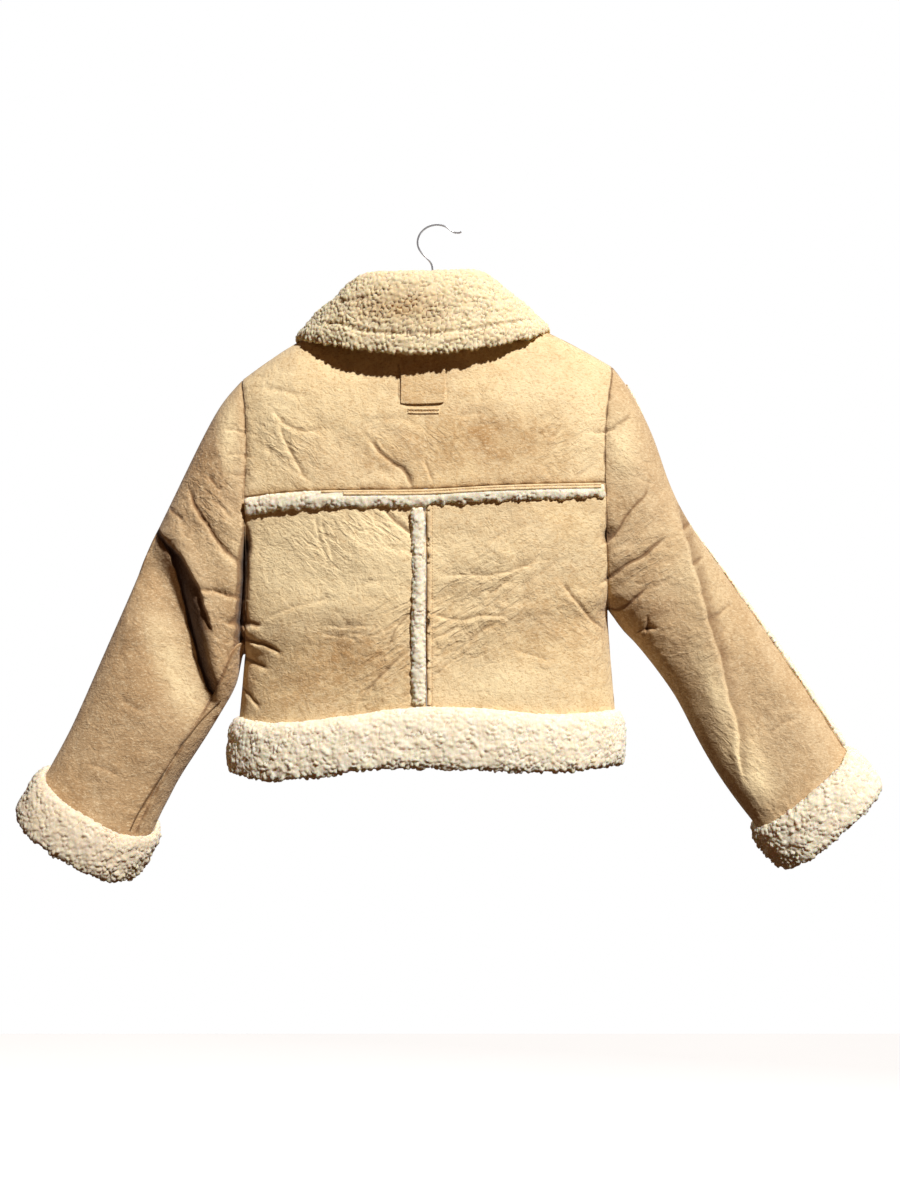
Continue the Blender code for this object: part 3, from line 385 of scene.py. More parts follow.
backHollows = [   # x, z, half length, half width, turn in degrees, depth (below 0: a swelling)
    (-44, -302, 24, 10, -40, 2.4),
    (20, -285, 60, 22, 20, 1.4),
    (105, -268, 70, 20, 38, 1.0),
    (-110, -262, 60, 15, -30, 1.2),
    (-196, -230, 34, 16, -70, -2.2),
    (-30, -354, 20, 9, -42, 2.8),
    (-80, -395, 60, 26, -12, -3.0),
    (-95, -480, 62, 18, 4, 1.2),
    (-175, -520, 40, 20, -25, -2.0),
    (-60, -560, 40, 14, 42, -1.8),
    (-226, -486, 14, 7, 0, -3.4),
    (-226, -509, 14, 8, 0, -3.4),
    (-226, -541, 14, 12, 0, -3.0),
    (70, -395, 70, 22, 20, -2.2),
    (40, -450, 60, 12, 10, 1.3),
    (150, -380, 40, 30, 30, -2.4),
    (110, -500, 60, 20, -15, 1.6),
    (60, -560, 50, 18, 20, -2.0),
    (-250, -420, 16, 22, 20, -4.0),
    (-248, -461, 14, 12, 0, -3.0),
    (-250, -360, 22, 12, -45, -3.0),
    (204, -371, 11, 6, 40, 7.0),
    (222, -398, 16, 10, 35, -3.0),
    (216, -444, 16, 10, 20, -3.0),
    (254, -481, 6, 5, 0, 3.0),
    (214, -330, 12, 26, 10, 2.0),
]

backFolds = [   # the lip, downwards; the drop beyond it and its reach, the lip's rise and its width
    ([(-334, -372), (-324, -383), (-317, -394), (-310, -416), (-303, -441), (-297, -463), (-292, -485),
      (-289, -503), (-283, -525), (-275, -548), (-270, -560), (-256, -571)], 6.0, 9.0, 0.0, 12.0),
    ([(-262, -492), (-266, -478), (-271, -467), (-275, -449), (-279, -436), (-290, -416), (-299, -399),
      (-310, -388), (-321, -379), (-334, -360)], 5.0, 8.0, 3.0, 16.0),
    ([(281, -312), (287, -341), (293, -361), (299, -385), (305, -406), (311, -430), (319, -456), (325, -483),
      (335, -508), (346, -556), (359, -603), (368, -680)], 1.6, 14.0, 1.6, 6.0),
]

backNapAndShade = [   # x, z, half length, half width, turn in degrees, then 1 pale to -1 brown: brushed nap, and in places painted light and shade where the cloth faces towards or away from the light
    (-120, -400, 95, 55, 0, 1.9),
    (-70, -350, 50, 20, -20, 0.5),
    (-105, -515, 75, 36, 0, -0.65),
    (-170, -560, 50, 30, 0, -0.4),
    (80, -548, 60, 25, 0, 0.9),
    (60, -400, 90, 40, 0, 0.4),
    (30, -470, 80, 40, 0, 0.2),
    (130, -480, 60, 70, 0, -0.3),
    (-190, -235, 25, 60, 0, 0.9),
    (-120, -220, 60, 40, 0, 0.5),
    (110, -205, 45, 25, 0, 0.8),
    (180, -240, 20, 60, 0, 0.8),
    (60, -262, 90, 40, 0, -0.6),
    (-70, -275, 50, 30, 0, -0.2),
    (-310, -530, 60, 22, -65, 0.8),
    (-246, -262, 60, 16, 90, 0.8),
    (-375, -500, 50, 26, -65, -0.4),
    (-287, -272, 66, 26, -60, -1.0),
    (222, -262, 40, 18, 90, 0.8),
    (240, -465, 35, 25, 0, -0.8),
    (370, -645, 45, 22, -60, 1.1),
    (336, -560, 60, 14, -66, 0.7),
    (270, -530, 60, 12, -62, -0.7),
    (310, -430, 60, 30, -62, 0.4),
]

# ripples lie alike on the back and the front: x, z, half length, half width, turn, amount

rippleClimb = [   # those that climb to the right
    (60, -430, 100, 60, 30, 0.8),
    (20, -500, 60, 40, 20, 0.9),
    (-50, -500, 34, 70, -20, 1.0),
    (-110, -560, 60, 24, 0, 0.6),
    (150, -262, 60, 40, 0, 0.7),
    (-80, -290, 30, 20, 0, 0.5),
    (252, -400, 50, 60, 0, 0.9),
    (300, -520, 40, 60, -60, 0.5),
    (-60, -240, 40, 14, 0, 0.6),
]

rippleFall = [   # and those that fall to the right
    (-56, -362, 50, 26, -30, 0.9),
    (-130, -380, 50, 50, 0, 0.7),
    (-170, -270, 50, 40, 0, 0.7),
    (-20, -262, 60, 24, 0, 0.6),
    (-268, -340, 40, 70, 20, 0.9),
    (-240, -530, 30, 60, 0, 0.6),
    (180, -470, 50, 50, 0, 0.6),
    (360, -620, 50, 30, -60, 0.6),
    (240, -270, 34, 40, 0, 0.4),
]

frontNap = [
    (-110, -360, 80, 50, 10, 0.6),
    (-120, -520, 80, 30, 0, -0.5),
    (90, -300, 60, 50, 0, 0.5),
    (100, -500, 80, 36, 12, -0.5),
    (60, -420, 60, 30, 0, 0.5),
    (-330, -460, 60, 24, 62, 0.4),
    (310, -470, 60, 24, -55, 0.4),
    (-300, -320, 50, 24, 62, -0.4),
]

frontCreases = [
    ([(-188, -214), (-168, -236), (-140, -250), (-112, -252)], 1.8, 2.8, 0.9),
    ([(-210, -262), (-192, -290), (-176, -330)], 1.8, 2.8, 1.0),
    ([(-226, -470), (-200, -474), (-170, -468)], 2.6, 3.0, 0.8),
    ([(-226, -505), (-196, -512), (-162, -506), (-130, -512)], 2.2, 3.0, 0.9),
    ([(-150, -420), (-118, -404), (-84, -400)], 1.4, 3.0, 0.9),
    ([(-96, -548), (-62, -532), (-30, -530)], 1.6, 2.8, 1.0),
    ([(-88, -300), (-66, -330), (-40, -352)], 1.6, 3.0, 0.9),
    ([(30, -286), (62, -270), (96, -262)], 1.5, 3.0, 0.9),
    ([(120, -214), (148, -236), (170, -270)], 1.9, 2.8, 1.0),
    ([(10, -420), (48, -428), (90, -420), (118, -408)], 1.7, 2.8, 1.0),
    ([(60, -500), (96, -486), (140, -484)], 1.4, 3.0, 0.9),
    ([(150, -470), (178, -478), (212, -470)], 2.4, 3.0, 0.8),
    ([(146, -528), (180, -520), (214, -526)], 2.0, 3.0, 0.8),
    ([(12, -560), (44, -548), (80, -552)], 1.3, 2.8, 0.9),
    ([(-262, -300), (-280, -330), (-300, -352)][::-1], 2.4, 3.0, 0.8),
    ([(-300, -410), (-270, -424), (-236, -430)], 3.0, 3.2, 0.8),
    ([(-330, -470), (-302, -488), (-268, -492)], 2.6, 3.2, 0.8),
    ([(-380, -560), (-352, -582), (-318, -590)], 1.8, 3.4, 0.9),
    ([(200, -372), (228, -352), (252, -322)], 3.0, 3.4, 0.9),
    ([(200, -430), (236, -412), (272, -388)], 3.2, 3.2, 0.9),
    ([(216, -470), (250, -452), (286, -440)], 2.6, 3.2, 0.9),
    ([(300, -500), (328, -492), (360, -470)], 1.8, 3.2, 0.9),
    ([(360, -620), (392, -604), (420, -580)], 1.8, 3.4, 0.9),
]

frontHollows = [
    (-110, -330, 60, 24, 35, 2.0),
    (-150, -560, 60, 22, -10, -2.4),
    (-60, -460, 70, 20, 15, 2.0),
    (70, -340, 70, 24, -30, 2.0),
    (120, -560, 60, 20, 10, -2.4),
    (100, -440, 60, 18, 10, -2.0),
    (-262, -400, 20, 24, 0, -3.5),
    (224, -400, 20, 20, 20, -3.5),
]

frontFolds = [
    ([(-320, -380), (-306, -420), (-296, -470), (-286, -520), (-276, -560)], 3.0, 20.0, 3.0, 14.0),
]


def roundedOff(path, times=2):   # cuts the corners of a given line
    for _ in range(times):
        middles = [path[0]]
        for start, end in zip(path, path[1:]):
            middles += [start * 0.75 + end * 0.25, start * 0.25 + end * 0.75]
        path = middles + [path[-1]]
    return path


def alongLine(places, path):   # distance to a line, positive above it, and how far along, 0 to 1
    steps = [np.linalg.norm(end - start) for start, end in zip(path, path[1:])]
    total, gone = sum(steps), 0.0
    nearest = np.full(len(places), 1e9)
    signed, along = np.zeros(len(places)), np.zeros(len(places))
    for start, end, step in zip(path, path[1:], steps):
        line = (end - start) / step
        out = places - start
        t = np.clip(out @ line, 0, step)
        away = np.hypot(*(out - t[:, None] * line).T)
        closer = away < nearest
        side = np.sign(line[0] * out[:, 1] - line[1] * out[:, 0])
        nearest[closer], signed[closer] = away[closer], (away * side)[closer]
        along[closer] = ((gone + t) / total)[closer]
        gone += step
    return signed, along


def nearLine(places, points, reach):   # the places within reach of a line, and where they lie
    path = roundedOff([np.array(point, float) for point in points])
    low, high = np.min(path, axis=0) - reach, np.max(path, axis=0) + reach
    near = np.where(np.all((places > low) & (places < high), axis=1))[0]
    return near, *alongLine(places[near], path)


def wavered(points, s):   # x and z in mm, bent a little so that no crease runs smooth
    bends = [
        noise.noise_vector(Vector(point) * s["jitterPerMetre"]) * s["jitter"]
        + noise.noise_vector(Vector(point) * s["driftPerMetre"]) * s["drift"]
        for point in points
    ]
    return points[:, (0, 2)] / mm + np.array(bends)[:, (0, 2)]


def spot(places, x, z, length, width, turn):   # 1 in the middle of a soft oval, 0 away from it
    c, s = math.cos(math.radians(turn)), math.sin(math.radians(turn))
    dx, dz = places[:, 0] - x, places[:, 1] - z
    along, across = (dx * c + dz * s) / length, (dz * c - dx * s) / width
    return np.exp(-(along ** 2 + across ** 2))


def creaseHeight(places, creases, hollows, folds, s):   # mm out of the cloth: creases, broad waves
    height, broad = np.zeros((2, len(places)))
    for points, depth, width, ridge in creases:
        near, signed, along = nearLine(places, points, width * s["creaseReach"])
        starts, ends = s["creaseFade"]
        fade = ease(along, 0.0, starts) * ease(along, 1.0, ends)
        trough = np.exp(-(np.abs(signed) / (s["troughWidth"] * width)) ** s["troughPower"])
        crest = np.exp(-((signed + s["ridgeAway"] * width) / (s["ridgeWidth"] * width)) ** 2)
        height[near] += depth * s["creaseShare"] * fade * (ridge * s["ridgeShare"] * crest - trough)
    for x, z, length, width, turn, depth in hollows:
        broad -= depth * spot(places, x, z, length, width, turn)
    for points, drop, reach, lip, lipWidth in folds:
        near, signed, along = nearLine(places, points, max(reach, lipWidth) * 3)
        starts, ends = s["foldFade"]
        fade = ease(along, 0.0, starts) * ease(along, 1.0, ends)
        under = drop * ease(signed, -1.0, 3.0) * np.exp(-(np.maximum(signed - 3, 0) / reach) ** 2)
        over = lip * ease(signed, 2.0, -2.5) * np.exp(-(np.minimum(signed + 2.5, 0) / lipWidth) ** 2)
        height[near] += fade * (over - under)
    return height, broad


def shadowInFold(places, lip, bulge, s):   # painted shadow in a fold: 1 just beyond its lip, less towards the bulge
    inside, reaches = np.zeros(len(places)), s["foldReach"]
    near, signed, along = nearLine(places, lip, s["foldSearch"])
    above, _ = alongLine(places[near], roundedOff([np.array(point, float) for point in bulge]))
    reach = np.interp(along, np.linspace(0, 1, len(reaches)), reaches)
    depth = ease(signed, *s["lipEdge"]) * np.exp(-(signed / reach) ** 4) * ease(above, *s["bulgeEdge"])
    inside[near] = depth * (1 - s["foldPales"] * ease(signed, *s["foldPalesOver"]))
    return inside


def facing(ob, rounds):   # how squarely the cloth faces front or back, the same on both its sides
    turned = np.abs(normalsOf(ob)[:, 1])
    edges = edgesOf(ob)
    for _ in range(rounds):   # a rim takes it from the cloth beside it
        wider = turned.copy()
        np.maximum.at(wider, edges[:, 0], turned[edges[:, 1]])
        np.maximum.at(wider, edges[:, 1], turned[edges[:, 0]])
        turned = wider
    return ease(turned, 0.25, 0.8)


def fineWrinkles(points, s, seed):   # the cloth's own unevenness, in mm
    shift = Vector((seed * 3.1, seed * 1.7, seed * 2.3))
    waves, lines = np.zeros((2, len(points)))
    for index, point in enumerate(points):
        place = Vector(point)
        bent = place + noise.noise_vector(place * s["bendPerMetre"] + shift) * s["bend"]
        slanted = Vector((bent.x * 26 + bent.z * 22, bent.y * 30, bent.z * 52 - bent.x * 18)) + shift
        patch = min(max(0.5 + 1.6 * noise.noise(place * s["patchPerMetre"] + shift), 0), 1)
        line = max(1 - 4.5 * abs(noise.noise(slanted)), 0) ** 2
        hair = max(1 - 4.0 * abs(noise.noise(slanted * 2.3)), 0) ** 2
        waves[index] = noise.noise(place * s["swellPerMetre"] + shift) * s["swell"]
        waves[index] += noise.noise(bent * s["wavePerMetre"]) * s["wave"]
        lines[index] = noise.noise(place * s["napPerMetre"]) * s["nap"]
        lines[index] -= patch * (line * s["line"] + hair * s["hair"])
    return waves, lines


panelSet = {
    "rimCrease": 0.5,          # how crisp the cut edges stay
    "sharpAngle": math.radians(62),
    "fineReach": 6.0,          # mm beside a crease where faces are halved again
    "jitter": 1.6,             # mm that a crease wavers, finely and then broadly
    "jitterPerMetre": 75,
    "drift": 2.4,
    "driftPerMetre": 28,
    "swell": 2.6,              # mm: broad waves, shorter ones, then wrinkles and the nap's unevenness
    "swellPerMetre": 8,
    "wave": 1.3,
    "wavePerMetre": 30,
    "bend": 0.014,             # how far, in m, the wrinkles are led astray
    "bendPerMetre": 20,
    "patchPerMetre": 13,       # wrinkles come in patches
    "line": 1.0,
    "hair": 0.6,
    "nap": 0.3,
    "napPerMetre": 170,
    "creaseShare": 0.95,       # of the depths in the lists above
    "creaseReach": 7,          # half widths over which a crease is worked out
    "creaseFade": (0.22, 0.72),   # shares of its length where it is at full depth
    "foldFade": (0.12, 0.9),
    "troughWidth": 0.85,
    "troughPower": 1.4,
    "ridgeShare": 0.42,
    "ridgeAway": 2.1,          # half widths from the trough to the middle of its ridge
    "ridgeWidth": 1.5,
    "rimRounds": 3,
    "foldReach": (8.0, 20.0, 26.0, 22.0, 12.0, 6.0),   # mm that the painted shadow reaches, down the left sleeve's fold
    "foldSearch": 30,
    "lipEdge": (-0.8, 1.2),    # mm from the lip over which the painted shadow in the fold sets in
    "bulgeEdge": (-3.0, 4.0),
    "foldPales": 0.25,         # and how much the painted shadow pales, and where, further in
    "foldPalesOver": (4, 22),
    "seamDepth": 2.2,          # mm that the cloth sinks into its seams
    "seamReach": 4.0,
    "seamLine": 1.8,
    "rimLine": 0.45,           # how much darker the cloth is in a seam
    "creaseRange": 6,          # mm of height that take a crease from dark to pale
}


def keepRims(ob, s):   # marks the edges of the cut, and gives points along them
    pickOnly(ob)
    bpy.ops.object.mode_set(mode="EDIT")
    bpy.ops.mesh.select_all(action="DESELECT")
    bpy.ops.mesh.select_mode(type="EDGE")
    bpy.ops.mesh.edges_select_sharp(sharpness=s["sharpAngle"])
    bpy.ops.object.mode_set(mode="OBJECT")
    marked = np.zeros(len(ob.data.edges), bool)
    ob.data.edges.foreach_get("select", marked)
    layer = ob.data.attributes.new("crease_edge", "FLOAT", "EDGE")
    layer.data.foreach_set("value", marked.astype(np.float32) * s["rimCrease"])
    points, edges = pointsOf(ob), edgesOf(ob)[marked]
    return [points[a] + (points[b] - points[a]) * t for a, b in edges for t in np.linspace(0, 1, 8)]


def treeOf(points):
    tree = kdtree.KDTree(len(points))
    for index, point in enumerate(points):
        tree.insert(point, index)
    tree.balance()
    return tree


def halveNear(ob, creases, folds, reach, outward):   # smaller faces where a crease will lie
    points, normals = pointsOf(ob), normalsOf(ob)
    places = points[:, (0, 2)] / mm
    wanted = np.zeros(len(points), bool)
    for row in creases + folds:
        near, signed, _ = nearLine(places, row[0], reach)
        wanted[near] |= np.abs(signed) < reach
    wanted &= normals @ np.array(outward) > 0.2
    pickOnly(ob)
    bpy.ops.object.mode_set(mode="EDIT")
    bpy.ops.mesh.select_mode(type="VERT")
    bpy.ops.mesh.select_all(action="DESELECT")
    bpy.ops.object.mode_set(mode="OBJECT")
    ob.data.vertices.foreach_set("select", wanted)
    bpy.ops.object.mode_set(mode="EDIT")
    bpy.ops.mesh.select_mode(type="FACE")
    if wanted.any():
        bpy.ops.mesh.subdivide(number_cuts=1)
    bpy.ops.object.mode_set(mode="OBJECT")


def panel(node, name, seed, look, back=True):
    s, outward = panelSet, atBack if back else atFront
    creases, hollows, folds, napsAndShade = (
        (backCreases, backHollows, backFolds, backNapAndShade) if back
        else (frontCreases, frontHollows, frontFolds, frontNap)
    )
    ob = copyOf(node, name)
    rims = treeOf(keepRims(ob, s))
    levels = 3 if back else 2
    withModifier(ob, "SUBSURF", levels=levels, render_levels=levels)
    for _ in range(4 - levels):   # once on the back, twice on the front, which starts coarser
        halveNear(ob, creases, folds, s["fineReach"], outward)
    points = pointsOf(ob)
    places = wavered(points, s)
    height, broad = creaseHeight(places, creases, hollows, folds, s)
    waves, lines = fineWrinkles(points, s, seed)
    toRim = np.array([rims.find(point)[2] for point in points]) / mm
    inSeam = s["seamDepth"] * np.exp(-(toRim / s["seamReach"]) ** 2)
    points[:, 1] += outward.y * (height + broad + waves + lines - inSeam) * facing(ob, s["rimRounds"]) * mm
    movePoints(ob, points)
    rimLine = s["rimLine"] * np.exp(-(toRim / s["seamLine"]) ** 2)
    # the crease number drives painted shade in troughs and a painted highlight on ridges; it is also lowered
    # along seams
    crease = 0.5 + (height + 0.2 * broad + 0.5 * lines) / s["creaseRange"] - rimLine
    keepNumbers(ob, "crease", np.clip(crease, 0, 1))
    keepNumbers(ob, "nap", sum(amount * spot(places, *oval) for *oval, amount in napsAndShade))
    # painted shadow: deep troughs and the left sleeve's fold are coloured near black
    deepShadow = np.zeros(len(points))
    if back:
        deepShadow = ease(-height - broad, 3.0, 9.0)
        deepShadow = np.maximum(deepShadow, shadowInFold(places, folds[0][0], folds[1][0], s))
    keepNumbers(ob, "deepShadow", deepShadow)
    for slope, ovals in (("climb", rippleClimb), ("fall", rippleFall)):
        keepNumbers(ob, slope, sum(amount * spot(places, *oval) for *oval, amount in ovals))
    dress(ob, "suede", look, node)
    return ob


print("suede panels")
suede = suedeLook("suede", suedeSet, paintedLight=0.75)
armSet = {**suedeSet, "tan": tone(207, 174, 130), "brown": tone(171, 135, 94)}   # less golden
armSuede = suedeLook("suedeSleeve", armSet, 0.15, 0.15)
shadedSleeve = suedeLook("suedeSleeveShaded", armSet, 0.4)   # painted shade: the left sleeve is made darker, as it faces away from the light
weltHighlight = suedeLook("suedeWeltHighlight", suedeSet, paintedLight=0.75)   # painted highlight: turned edges are made paler as the tops of creases
# painted shade: a near-black suede for the line along the left underarm seam
seamShadowLook = suedeLook("suedeSeamShadow", {**suedeSet, "creaseShadeTone": suedeSet["deepShadowTone"]}, 0.5)
yoke = panel("back_yoke", "yokePanel", 1, suede)
backLeft = panel("back_left", "backPanelLeft", 2, suede)
backRight = panel("back_right", "backPanelRight", 3, suede)
panel("front_left", "frontPanelLeft", 4, suede, back=False)
panel("front_right", "frontPanelRight", 5, suede, back=False)
leftArmBack = panel("sleeve_left_back", "sleeveLeftBack", 6, shadedSleeve)
leftArmFront = panel("sleeve_left_front", "sleeveLeftFront", 7, shadedSleeve, back=False)
panel("sleeve_right_back", "sleeveRightBack", 8, armSuede)
panel("sleeve_right_front", "sleeveRightFront", 9, armSuede, back=False)

patch = copyOf("neck_patch", "neckPatch")
keepRims(patch, panelSet)
withModifier(patch, "SUBSURF", levels=3, render_levels=3)
keepNumbers(patch, "crease", np.full(len(patch.data.vertices), 0.5))
dress(patch, "suede", suedeLook("patchSuede", suedeSet, 0.1, 0.45), "neck_patch")


# sherpa pile: the solid is remeshed finely, then each tuft is raised from its own centre

pileSet = {
    "faces": 1.62 * mm,           # at 1.5 mm the coat came to more than a million triangles
    "tuftSpacing": 5.4 * mm,
    "packing": 0.86,              # how near two centres may be, as a share of that
    "tuftHeight": 2.9 * mm,
    "tuftSizes": (0.45, 1.2),
    "sunk": 1.3 * mm,             # the cloth under the tufts lies this far inside the solid
    "warp": 2.3 * mm,
    "warpPerMetre": 190.0,
    "clump": 1.1 * mm,            # tufts stand in uneven clumps, 25 mm across
    "clumpPerMetre": 42.0,
    "crack": 0.5,                 # how deep the gaps between tufts are on average
    "crackSwing": 1.1,
    "leastCrack": 0.15,
    "cracksPerMetre": 85.0,
    "droop": 0.3,                 # tufts hang a little
    "hang": 0.4,                  # and those on a lower edge more
    "creviceWidth": 1.5 * mm,
}


def tuftCentres(points, spacing, dice):   # no two centres closer than the spacing
    kept, grid = [], {}
    steps = [(i, j, k) for i in (-1, 0, 1) for j in (-1, 0, 1) for k in (-1, 0, 1)]
    for index in dice.permutation(len(points)):
        point = points[index]
        cell = tuple((point // spacing).astype(int))
        around = [(cell[0] + i, cell[1] + j, cell[2] + k) for i, j, k in steps]
        close = any(
            np.dot(point - other, point - other) < spacing ** 2 for c in around for other in grid.get(c, ())
        )
        if not close:
            grid.setdefault(cell, []).append(point)
            kept.append(point)
    return kept


def raisePile(ob, s, seed, calm, grooves):   # calm gives, from points, where the pile lies smoother
    dice = np.random.default_rng(seed)
    points, normals = pointsOf(ob), normalsOf(ob)
    centres = tuftCentres(points, s["tuftSpacing"] * s["packing"], dice)
    tree = treeOf(centres)
    size = dice.uniform(*s["tuftSizes"], len(centres))
    tint = dice.uniform(0.0, 1.0, len(centres))
    raised, low, tuft, clump, crack = np.zeros((5, len(points)))
    for index, point in enumerate(points):
        place = Vector(point)
        clump[index] = noise.noise(place * s["clumpPerMetre"]) * s["clump"]
        crack[index] = s["crack"] + s["crackSwing"] * noise.noise(place * s["cracksPerMetre"])
        place += noise.noise_vector(place * s["warpPerMetre"]) * s["warp"]
        (_, mine, first), (_, _, second) = tree.find_n(place, 2)
        raised[index], low[index], tuft[index] = size[mine], second - first, tint[mine]
    crack = np.clip(crack, s["leastCrack"], 1)     # some tufts run together, others part
    wall = 1 - crack * (1 - ease(low, 0.0, s["creviceWidth"]))
    dome = np.maximum(ease(low, 0.0, s["tuftSpacing"] * 0.8), 1e-6) ** (0.5 * crack)
    quiet = 1 - calm(points) if calm else np.ones(len(points))
    under = s["hang"] * ease(-normals[:, 2], 0.1, 0.7)
    height = s["tuftHeight"] * raised * (0.45 * wall + 0.55 * dome) * quiet * (1 + under) - s["sunk"]
    height += clump * quiet
    groove = np.zeros(len(points))
    for line, depth, width in grooves:
        near, signed, along = nearLine(points[:, (0, 2)] / mm, line, width * 4)
        fade = ease(along, 0.0, 0.1) * ease(along, 1.0, 0.9)
        groove[near] = np.maximum(groove[near], fade * np.exp(-(signed / width) ** 2))
        height[near] -= depth * mm * fade * np.exp(-(signed / width) ** 2) * (normals[near, 1] < 0)
    moved = points + normals * height[:, None]
    moved[:, 2] -= s["droop"] * np.maximum(height, 0) * (1 + under)
    movePoints(ob, moved)
    # painted shade between the tufts and along the collar's grooves
    keepNumbers(ob, "creviceShade", np.clip((1 - wall) * (0.4 + 0.6 * quiet) + groove * 0.5, 0, 1))
    keepNumbers(ob, "tuft", tuft)


def sherpaPiece(node, name, look, flat, area, held, seed, calm=None, grooves=(), smooth=1, **changes):
    s = {**pileSet, **changes}
    ob = copyOf(node, name)
    withModifier(ob, "SUBSURF", levels=smooth, render_levels=smooth)
    withModifier(ob, "REMESH", mode="VOXEL", voxel_size=s["faces"], use_smooth_shade=True)
    withModifier(ob, "SMOOTH", factor=0.5, iterations=3)
    raisePile(ob, s, seed, calm, grooves)
    dress(ob, "sherpa", look, node)
    return ob


print("sherpa pieces")
goldenSet = {**sherpaSet, "cream": tone(243, 228, 192), "warm": tone(226, 202, 156)}
golden = sherpaLook("sherpaGolden", goldenSet, sherpaSet["creviceShade"], 0.3)
shadedSet = {**sherpaSet, "cream": tone(232, 218, 194), "warm": tone(212, 192, 158)}
shaded = sherpaLook("sherpaShaded", shadedSet, sherpaSet["paleCreviceShade"], 0.5)   # painted shade: a darker copy for the left cuff, which lies in half shade
creamy = sherpaLook("sherpaCream", sherpaSet, sherpaSet["paleCreviceShade"], 0.35)
edging = sherpaLook("sherpaEdging", sherpaSet, sherpaSet["paleCreviceShade"], 0.15)


def nearFold(points):   # the top of the collar, where it turns over
    return 0.35 * ease(points[:, 2], -85 * mm, -62 * mm)


def nearHemTop(points):
    return 0.3 * ease(points[:, 2], -603 * mm, -585 * mm)


def nearWelt(points):   # the strip's upper part lies flat under its turned edge
    edge = np.interp(points[:, 0], *stripTop)
    return ease(points[:, 2], edge - 9 * mm, edge - 5 * mm) * ease(points[:, 0], -148 * mm, -112 * mm)


def nearShoulder(points):   # the right arm's trim is closed up here
    return 0.5 * ease(points[:, 2], -440 * mm, -400 * mm)


def topEdge(node):   # x and z along the upper edge of a node that lies across the back
    points = pointsOf(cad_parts[node])
    bins = np.round(points[:, 0] / (12 * mm))
    tops = sorted((points[bins == b][:, 0].mean(), points[bins == b][:, 2].max()) for b in np.unique(bins))
    return np.array(tops).T


stripTop = topEdge("yoke_strip")
collarGrooves = [   # x and z in mm, depth, half width
    ([(-148, -126), (-118, -121), (-100, -129), (-81, -135), (-18, -139), (46, -132), (116, -116)], 2.8, 2.4),
    ([(-116, -98), (-98, -96), (-78, -94)], 1.8, 2.2),
]
collar = sherpaPiece("collar", "collarSherpa", golden, (0.60, 0.16), 0.084, "folded", 11,
                     nearFold, collarGrooves, crack=0.95)
wornOval = (-42, -106, 56, 22, 0)   # x, z, half length, half width, turn
keepNumbers(collar, "worn", spot(pointsOf(collar)[:, (0, 2)] / mm, *wornOval))
sherpaPiece("hem_band", "hemSherpa", creamy, (0.96, 0.088), 0.080, "folded", 12, nearHemTop)
sherpaPiece("cuff_left", "cuffSherpaLeft", shaded, (0.42, 0.065), 0.027, "folded", 13)
sherpaPiece("cuff_right", "cuffSherpaRight", creamy, (0.42, 0.065), 0.026, "folded", 14)
thin = {"tuftHeight": 2.4 * mm, "sunk": 0.7 * mm, "tuftSpacing": 4.8 * mm, "clump": 1.0 * mm, "crack": 0.35}
yokeEdge = sherpaPiece("yoke_strip", "yokeSherpa", edging, (0.46, 0.020), 0.009, "hung", 15, nearWelt, **thin)
sherpaPiece("back_seam_strip", "seamSherpa", edging, (0.24, 0.019), 0.0045, "hung", 16,
            **{**thin, "crack": 0.65})
sherpaPiece("sleeve_strip_left", "armSherpaLeft", edging, (0.54, 0.026), 0.0133, "hung", 17, **thin)
sherpaPiece("sleeve_strip_right", "armSherpaRight", edging, (0.54, 0.031), 0.0166, "hung", 18,
            nearShoulder, **thin)


# turned edges and topstitching, laid on the finished panels

sewnSet = {
    "step": 4.0,               # mm between the points of a sewn line
    "pitch": 3.4 * mm,
    "stitch": 2.5 * mm,
    "thread": 0.42 * mm,
    "weltWidth": 3.2,
    "seamWidth": 5.0,
    "rowWidth": 2.6,
    "armSeamWidth": 1.9,
    "straw": tone(236, 210, 168),
    "strawShade": tone(214, 184, 138),
    "twistPerMetre": 1400.0,
    "twistDepth": 0.2 * mm,
    "pale": 0.7,               # turned edges count as the top of a crease, so they take its painted highlight
}


def onBack(x, z, *under):   # where the back of these pieces is, at x and z in mm
    start = Vector((x * mm, -0.4, z * mm))
    hits = [ob.ray_cast(start, atFront) for ob in under]
    places = [place for found, place, *_ in hits if found]
    return min(places, key=lambda place: place.y) if places else None


def sewnPath(name, line, rise, *under):   # a curve along a line in mm, this far above the cloth
    path = roundedOff([np.array(point, float) for point in line])
    lengths = np.concatenate([[0], np.cumsum([np.linalg.norm(b - a) for a, b in zip(path, path[1:])])])
    along = np.linspace(0, lengths[-1], max(3, int(lengths[-1] / sewnSet["step"])))
    xs = np.interp(along, lengths, [point[0] for point in path])
    zs = np.interp(along, lengths, [point[1] for point in path])
    places = [onBack(x, z, *under) for x, z in zip(xs, zs)]
    places = [place - Vector((0, rise * mm, 0)) for place in places if place]
    bpy.ops.object.select_all(action="DESELECT")
    bpy.ops.curve.primitive_nurbs_path_add(location=(0, 0, 0))
    curve = bpy.context.object
    curve.name = name
    curve.data.splines.clear()
    spline = curve.data.splines.new("POLY")
    spline.points.add(len(places) - 1)
    for point, place in zip(spline.points, places):
        point.co = (*place, 1)
    curve.data.twist_mode = "Z_UP"
    return curve


def roll(name, line, width, rise, crease, look, *under):   # a narrow turned edge, half sunk in the cloth
    curve = sewnPath(name, line, rise, *under)
    curve.data.bevel_depth, curve.data.bevel_resolution = width / 2 * mm, 3
    curve.data.use_fill_caps = True
    pickOnly(curve)
    bpy.ops.object.convert(target="MESH")
    ob = bpy.context.object
    keepNumbers(ob, "crease", np.full(len(ob.data.vertices), crease))
    return dress(ob, "suede", look)


